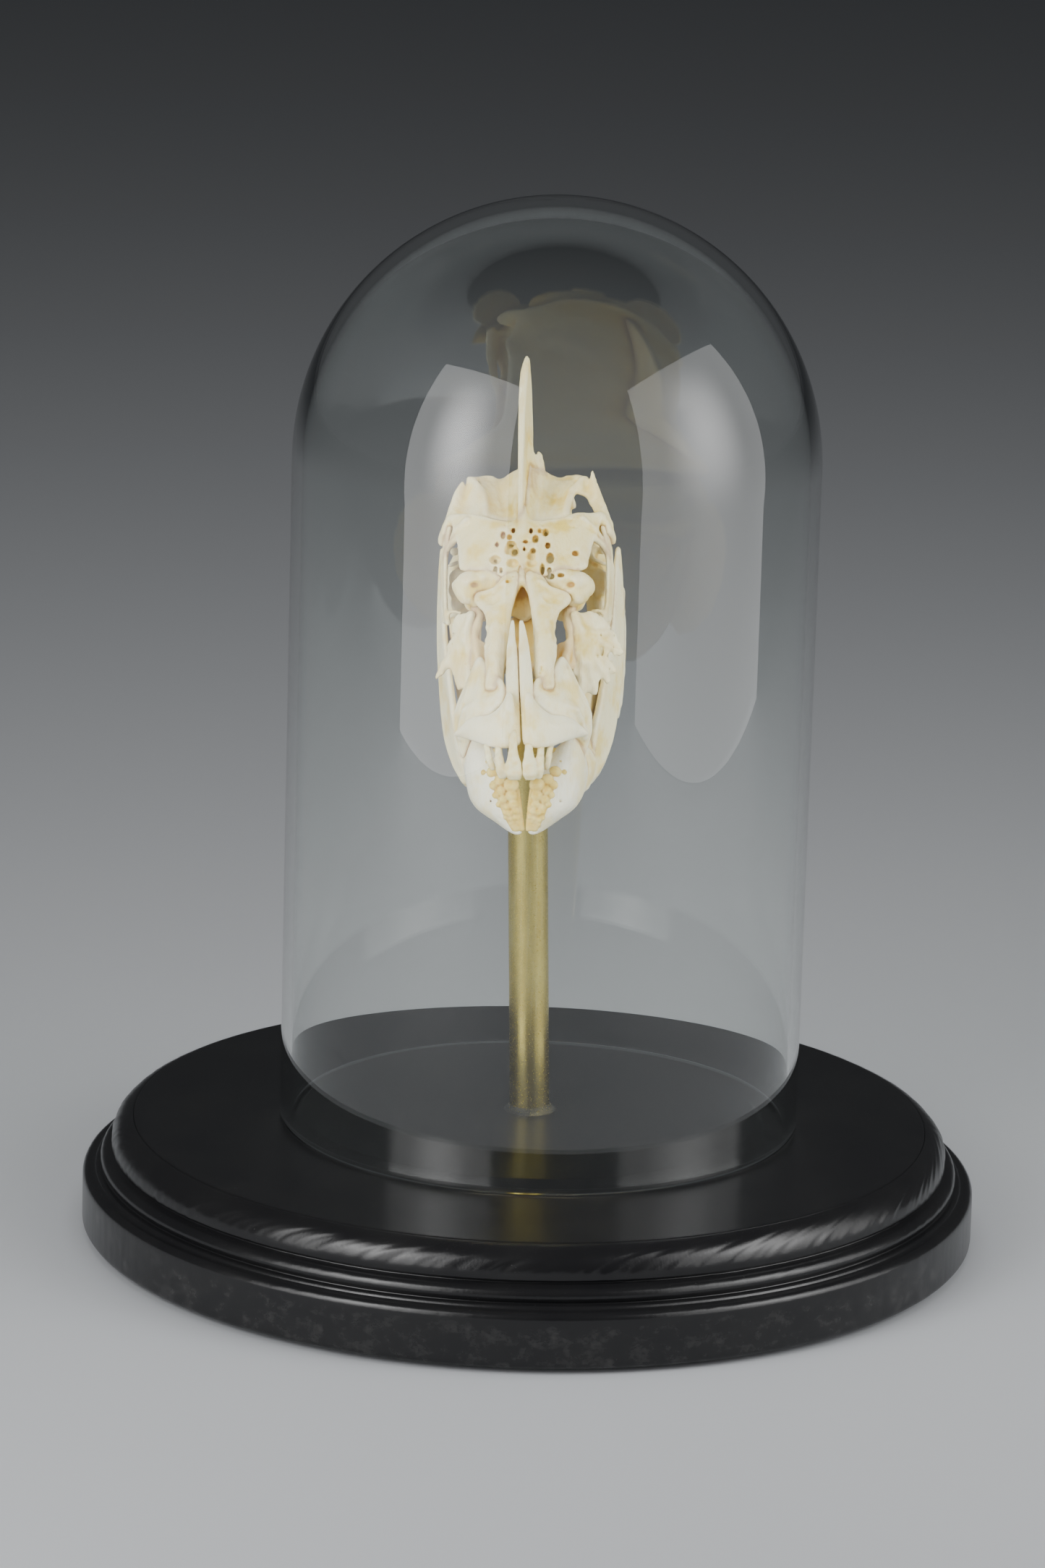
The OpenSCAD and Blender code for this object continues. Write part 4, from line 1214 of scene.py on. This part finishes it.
def make_post(brass, glue, putty):
    """The rod, the glue round its foot, and the lump of putty inside the skull on its end."""
    r, foot, top = POST_R / MM, -POST_SUNK, SKULL_UP + POST_IN_SKULL
    outline = filled([(0, foot), (r, foot), (r, top - 0.6), (r - 0.5, top), (0, top)], 2.5)

    def drawn(rr, zz, aa):
        flat = value_noise(np.stack([aa * 5, zz * 0.02, rr * 0], -1), (1, 1, 1), 231)
        return 0.008 * flat, 0 * zz

    add_piece(lathe("post_rod", outline, 96, drawn, ON_POST), ["brass_post"], "brass", STAND, brass)

    bead = [(r - 0.1, 0.0), (r + 1.5, 0.02), (r + 1.3, 0.2), (r + 0.9, 0.5), (r + 0.5, 0.9), (r + 0.2, 1.3),
            (r - 0.1, 1.45)]

    def slump(rr, zz, aa):
        swell = value_noise(np.stack([np.cos(aa) * 5, np.sin(aa) * 5, zz * 0.3], -1), (2.4, 2.4, 3), 232)
        side = np.clip((rr - r) / 1.2, 0, 1)
        return side * 0.35 * swell, 0.12 * swell * np.clip(zz, 0, 1)

    add_piece(lathe("glue_bead", filled(bead, 0.2), 160, slump, ON_POST, closed=True), ["glue_fillet"],
              "clear_glue", STAND, glue)

    solid = Solid((-8, -8, top - 6), (8, 8, top + 7), 0.4)
    for ball in ((0, 0, top - 2, 6), (2.2, 1, top + 1.4, 3.6), (-2, -1, top + 1.6, 3.4),
                 (0, 2, top + 2, 3.2)):
        solid.ball(ball, 2)
    solid.soften(1)
    solid.rough((2.4, 2.4, 1.6), 0.5, 241)
    solid.rough((0.9, 0.9, 0.9), 0.12, 242)
    solid.place = ON_POST @ Matrix.Scale(MM, 4)
    add_piece(solid.mesh("putty_lump"), ["mount_putty"], "putty", STAND, putty)


# ---- materials ----------------------------------------------------------------------

# DEEP is the deep brown of dark specks, and of the painted shade in pores and the painted shadow in joints
DEEP = (0.47, 0.25, 0.05, 1)
WORN_EDGE = (0.93, 0.89, 0.78, 1)
# The browns for painted shade in the gaps between teeth, and for stain and painted shadow where a tooth meets
# bone
TOOTH_GAP, TOOTH_SEAM = (0.58, 0.33, 0.06, 1), (0.55, 0.32, 0.06, 1)
BLACK, SOFT_BLACK = (0.005, 0.005, 0.006, 1), (0.010, 0.010, 0.010, 1)
DUST, RUBBED = (0.32, 0.31, 0.30, 1), (0.085, 0.083, 0.080, 1)


def bone_material(name, light, warm, deep, glow):
    """Boiled fish bone: ivory, with warm stain and painted shade in hollows, stain and painted shadow in
    joints, and painted shade in deep brown in the pores.
    """
    n = Nodes(name)
    hollow = n.attribute("hollow")
    cloud = n.noise(7.0, 3)
    fleck = n.noise(1.3, 4)
    fibre = n.noise(1.0, 3, (0.5, 0.7, 5))
    uneven = n.math("MULTIPLY", n.math("SUBTRACT", fleck, 0.5), 0.5)
    # warm patches and fibres, and in every hollow a warm stain that is also painted shade
    patch = n.steps(n.math("ADD", cloud, n.math("MULTIPLY", fleck, 0.25)), 0.56, 0.80)
    colour = n.mix(patch, light, warm)
    colour = n.mix(n.math("MULTIPLY", n.steps(fibre, 0.5, 0.75), 0.35), colour, warm)
    colour = n.mix(n.steps(hollow, -0.2, 0.3, 0, 0.6), colour, warm)
    # painted shade in deep brown down in the pores
    pit = n.math("ADD", hollow, uneven)
    colour = n.mix(n.steps(pit, 0.05, 0.45, 0, 0.95), colour, deep)
    # the joint with the next bone: warm stain near it, and a painted shadow of the gap in deep brown in it
    seam = n.math("ADD", n.attribute("seam"), uneven)
    seam = n.math("ADD", seam, n.math("MULTIPLY", n.math("SUBTRACT", cloud, 0.5), 0.5))
    colour = n.mix(n.steps(seam, 0.2, 0.7, 0, 0.4), colour, warm)
    colour = n.mix(n.steps(seam, 0.62, 1.0, 0, 0.8), colour, deep)
    # pale worn edges, and dark specks
    colour = n.mix(n.steps(hollow, -0.35, -0.8, 0, 0.3), colour, WORN_EDGE)
    speck = n.noise(0.5, 2)
    colour = n.mix(n.steps(speck, 0.70, 0.78, 0, 0.3), colour, deep)
    rough = n.math("ADD", 0.30, n.math("MULTIPLY", fleck, 0.30))
    relief = n.bump(fibre, 0.22, 0.6)
    relief = n.bump(n.noise(0.4, 3), 0.09, 0.6, relief)
    n.set(Base_Color=colour, Roughness=rough, Normal=relief, IOR=1.54, Subsurface_Weight=glow,
          Subsurface_Radius=(1.0, 0.8, 0.5), Subsurface_Scale=1.2 * MM)
    return n.material


def tooth_material(name, light, warm):
    """Enamel: glossy and cloudy, with painted shade in brown in the gaps, and brown stain and painted shadow
    where it meets the bone.
    """
    n = Nodes(name)
    hollow = n.attribute("hollow")
    cloud = n.noise(1.8, 3)
    seam = n.attribute("seam")
    colour = n.mix(n.steps(cloud, 0.35, 0.7), light, warm)
    # painted shade in the gaps, then stain and painted shadow at the bone
    colour = n.mix(n.steps(hollow, -0.1, 0.5, 0, 0.7), colour, TOOTH_GAP)
    colour = n.mix(n.steps(seam, 0.7, 1.0, 0, 0.3), colour, TOOTH_SEAM)
    n.set(Base_Color=colour, Roughness=n.math("ADD", 0.07, n.math("MULTIPLY", cloud, 0.10)), IOR=1.6,
          Normal=n.bump(n.noise(0.7, 2, (1, 1, 3)), 0.03, 0.5), Subsurface_Weight=0.35,
          Subsurface_Radius=(1.0, 0.7, 0.4), Subsurface_Scale=1.2 * MM)
    return n.material


def lacquer_material():
    """Black lacquer brushed on wood: satin, dusty, and rubbed on the foot."""
    n = Nodes("black_lacquer")
    broad = n.noise(14, 3)
    dust = n.noise(0.30, 2)
    scuff = n.noise(4.5, 6, (1, 1, 0.7), 0.72)
    low = n.steps(n.height(), 12.5, 9.5)
    colour = n.mix(broad, BLACK, SOFT_BLACK)
    colour = n.mix(n.steps(dust, 0.76, 0.82, 0, 0.4), colour, DUST)
    worn = n.math("MULTIPLY", n.steps(scuff, 0.45, 0.80, 0, 0.3), low)
    colour = n.mix(worn, colour, RUBBED)
    rough = n.math("ADD", 0.20, n.math("MULTIPLY", broad, 0.10))
    rough = n.math("ADD", rough, n.steps(dust, 0.72, 0.8, 0, 0.25))
    relief = n.bump(n.noise(4, 3), 0.08, 0.5)
    relief = n.bump(n.noise(0.7, 3), 0.04, 0.5, relief)
    n.set(Base_Color=colour, Roughness=rough, Normal=relief, IOR=1.42)
    return n.material


def felt_material():
    """Black felt of short matted fibres."""
    n = Nodes("black_felt")
    fibre = n.noise(0.5, 5, (1, 1, 0.4), 0.7)
    colour = n.mix(n.steps(fibre, 0.35, 0.7), (0.010, 0.010, 0.012, 1), (0.045, 0.045, 0.050, 1))
    n.set(Base_Color=colour, Roughness=n.steps(fibre, 0.3, 0.7, 0.85, 1.0), Normal=n.bump(fibre, 0.3, 0.8),
          Sheen_Weight=0.4, Sheen_Roughness=0.5)
    return n.material


def glass_material():
    """Clear glass, faintly green. It casts only a faint shadow, as thin glass does."""
    n = Nodes("clear_glass")
    tree = n.tree
    smear = n.noise(30, 4)
    n.set(Base_Color=(0.965, 0.985, 0.975, 1), Transmission_Weight=1.0, IOR=1.5,
          Roughness=n.steps(smear, 0.45, 0.8, 0.0, 0.012))
    clear = tree.nodes.new("ShaderNodeBsdfTransparent")
    clear.inputs["Color"].default_value = (0.95, 0.97, 0.96, 1)
    path = tree.nodes.new("ShaderNodeLightPath")
    mix = tree.nodes.new("ShaderNodeMixShader")
    tree.links.new(path.outputs["Is Shadow Ray"], mix.inputs[0])
    tree.links.new(n.shader.outputs[0], mix.inputs[1])
    tree.links.new(clear.outputs[0], mix.inputs[2])
    tree.links.new(mix.outputs[0], tree.nodes["Material Output"].inputs["Surface"])
    return n.material


def brass_material():
    """Dull drawn brass: olive gold with fine lines along it and dark specks."""
    n = Nodes("old_brass")
    line = n.noise(0.35, 3, (1, 1, 60))
    cloud = n.noise(5, 4, (1, 1, 3))
    speck = n.noise(0.45, 2)
    colour = n.mix(n.steps(cloud, 0.3, 0.7), (0.80, 0.66, 0.20, 1), (0.62, 0.48, 0.12, 1))
    colour = n.mix(n.steps(line, 0.45, 0.8, 0, 0.5), colour, (0.80, 0.72, 0.36, 1))
    colour = n.mix(n.steps(speck, 0.66, 0.78, 0, 0.6), colour, (0.20, 0.16, 0.07, 1))
    rough = n.math("ADD", 0.17, n.math("MULTIPLY", cloud, 0.12))
    n.set(Base_Color=colour, Metallic=1.0, Roughness=n.math("ADD", rough, n.steps(speck, 0.6, 0.8, 0, 0.3)),
          Normal=n.bump(line, 0.03, 0.6))
    return n.material


def glue_material():
    """Clear glue, cloudy in places."""
    n = Nodes("clear_glue_bead")
    cloud = n.noise(1.2, 3)
    n.set(Base_Color=n.mix(n.steps(cloud, 0.4, 0.7), (0.90, 0.91, 0.92, 1), (0.72, 0.72, 0.70, 1)),
          Transmission_Weight=0.98, IOR=1.46, Roughness=n.steps(cloud, 0.4, 0.8, 0.05, 0.22),
          Normal=n.bump(cloud, 0.15, 0.4))
    return n.material


def putty_material():
    """Dry tan putty."""
    n = Nodes("dried_putty")
    cloud = n.noise(2.2, 4)
    colour = n.mix(n.steps(cloud, 0.35, 0.7), (0.62, 0.53, 0.36, 1), (0.48, 0.38, 0.22, 1))
    n.set(Base_Color=colour, Roughness=n.steps(cloud, 0.3, 0.7, 0.6, 0.8),
          Normal=n.bump(n.noise(0.6, 4), 0.2, 0.6))
    return n.material


# ---- putting it together ----------------------------------------------------------------

make_camera()
make_stage()
make_light()

make_base(lacquer_material())
make_felt(felt_material())
make_glass(glass_material())
make_post(brass_material(), glue_material(), putty_material())

bone = bone_material("bone", (0.92, 0.78, 0.40, 1), (0.82, 0.60, 0.14, 1), DEEP, 0.15)
pale_bone = bone_material("pale_bone", (0.93, 0.84, 0.55, 1), (0.86, 0.68, 0.26, 1), DEEP, 0.15)
white_bone = bone_material("white_bone", (0.92, 0.87, 0.70, 1), (0.88, 0.77, 0.46, 1), DEEP, 0.15)
amber_bone = bone_material("amber_bone", (0.84, 0.60, 0.17, 1), (0.70, 0.40, 0.06, 1), DEEP, 0.3)
yellow_enamel = tooth_material("yellow_enamel", (0.88, 0.70, 0.26, 1), (0.80, 0.56, 0.12, 1))
pale_enamel = tooth_material("pale_enamel", (0.90, 0.82, 0.54, 1), (0.86, 0.70, 0.34, 1))

MIDDLE_BONES = [("cranium", cranium, bone), ("supraoccipital_crest", crest, bone),
                ("mesethmoid", mesethmoid, bone), ("vomer", vomer, amber_bone),
                ("parasphenoid", parasphenoid, bone)]
PAIRED_BONES = [("lateral_ethmoid", lateral_ethmoid, bone, "bone"), ("nasal", nasal, bone, "bone"),
                ("lacrimal", lacrimal, bone, "bone"), ("infraorbital", infraorbital, bone, "bone"),
                ("premaxilla", premaxilla, pale_bone, "pale_bone"),
                ("maxilla", maxilla, pale_bone, "pale_bone"), ("palatine", palatine, amber_bone, "bone"),
                ("pterygoid", pterygoid, bone, "bone"), ("quadrate", quadrate, bone, "bone"),
                ("hyomandibula", hyomandibula, bone, "bone"),
                ("preopercle", preopercle, pale_bone, "pale_bone"),
                ("opercle", opercle, pale_bone, "pale_bone"),
                ("articular", articular, pale_bone, "pale_bone"),
                ("dentary", dentary, white_bone, "pale_bone"),
                ("upper_teeth", upper_teeth, pale_enamel, "tooth"),
                ("lower_teeth", lower_teeth, yellow_enamel, "tooth")]

skull = [(name, shape(), material, "bone") for name, shape, material in MIDDLE_BONES]
skull += [(name + "_" + side_name, shape(side), material, slot)
          for name, shape, material, slot in PAIRED_BONES for side_name, side in SIDES]
for name, solid, material, slot in skull:
    others = [other for _, other, _, kind in skull if other is not solid and kind != "tooth"]
    add_piece(solid.mesh(name + "_bone", others), [name], slot, STAND, material)
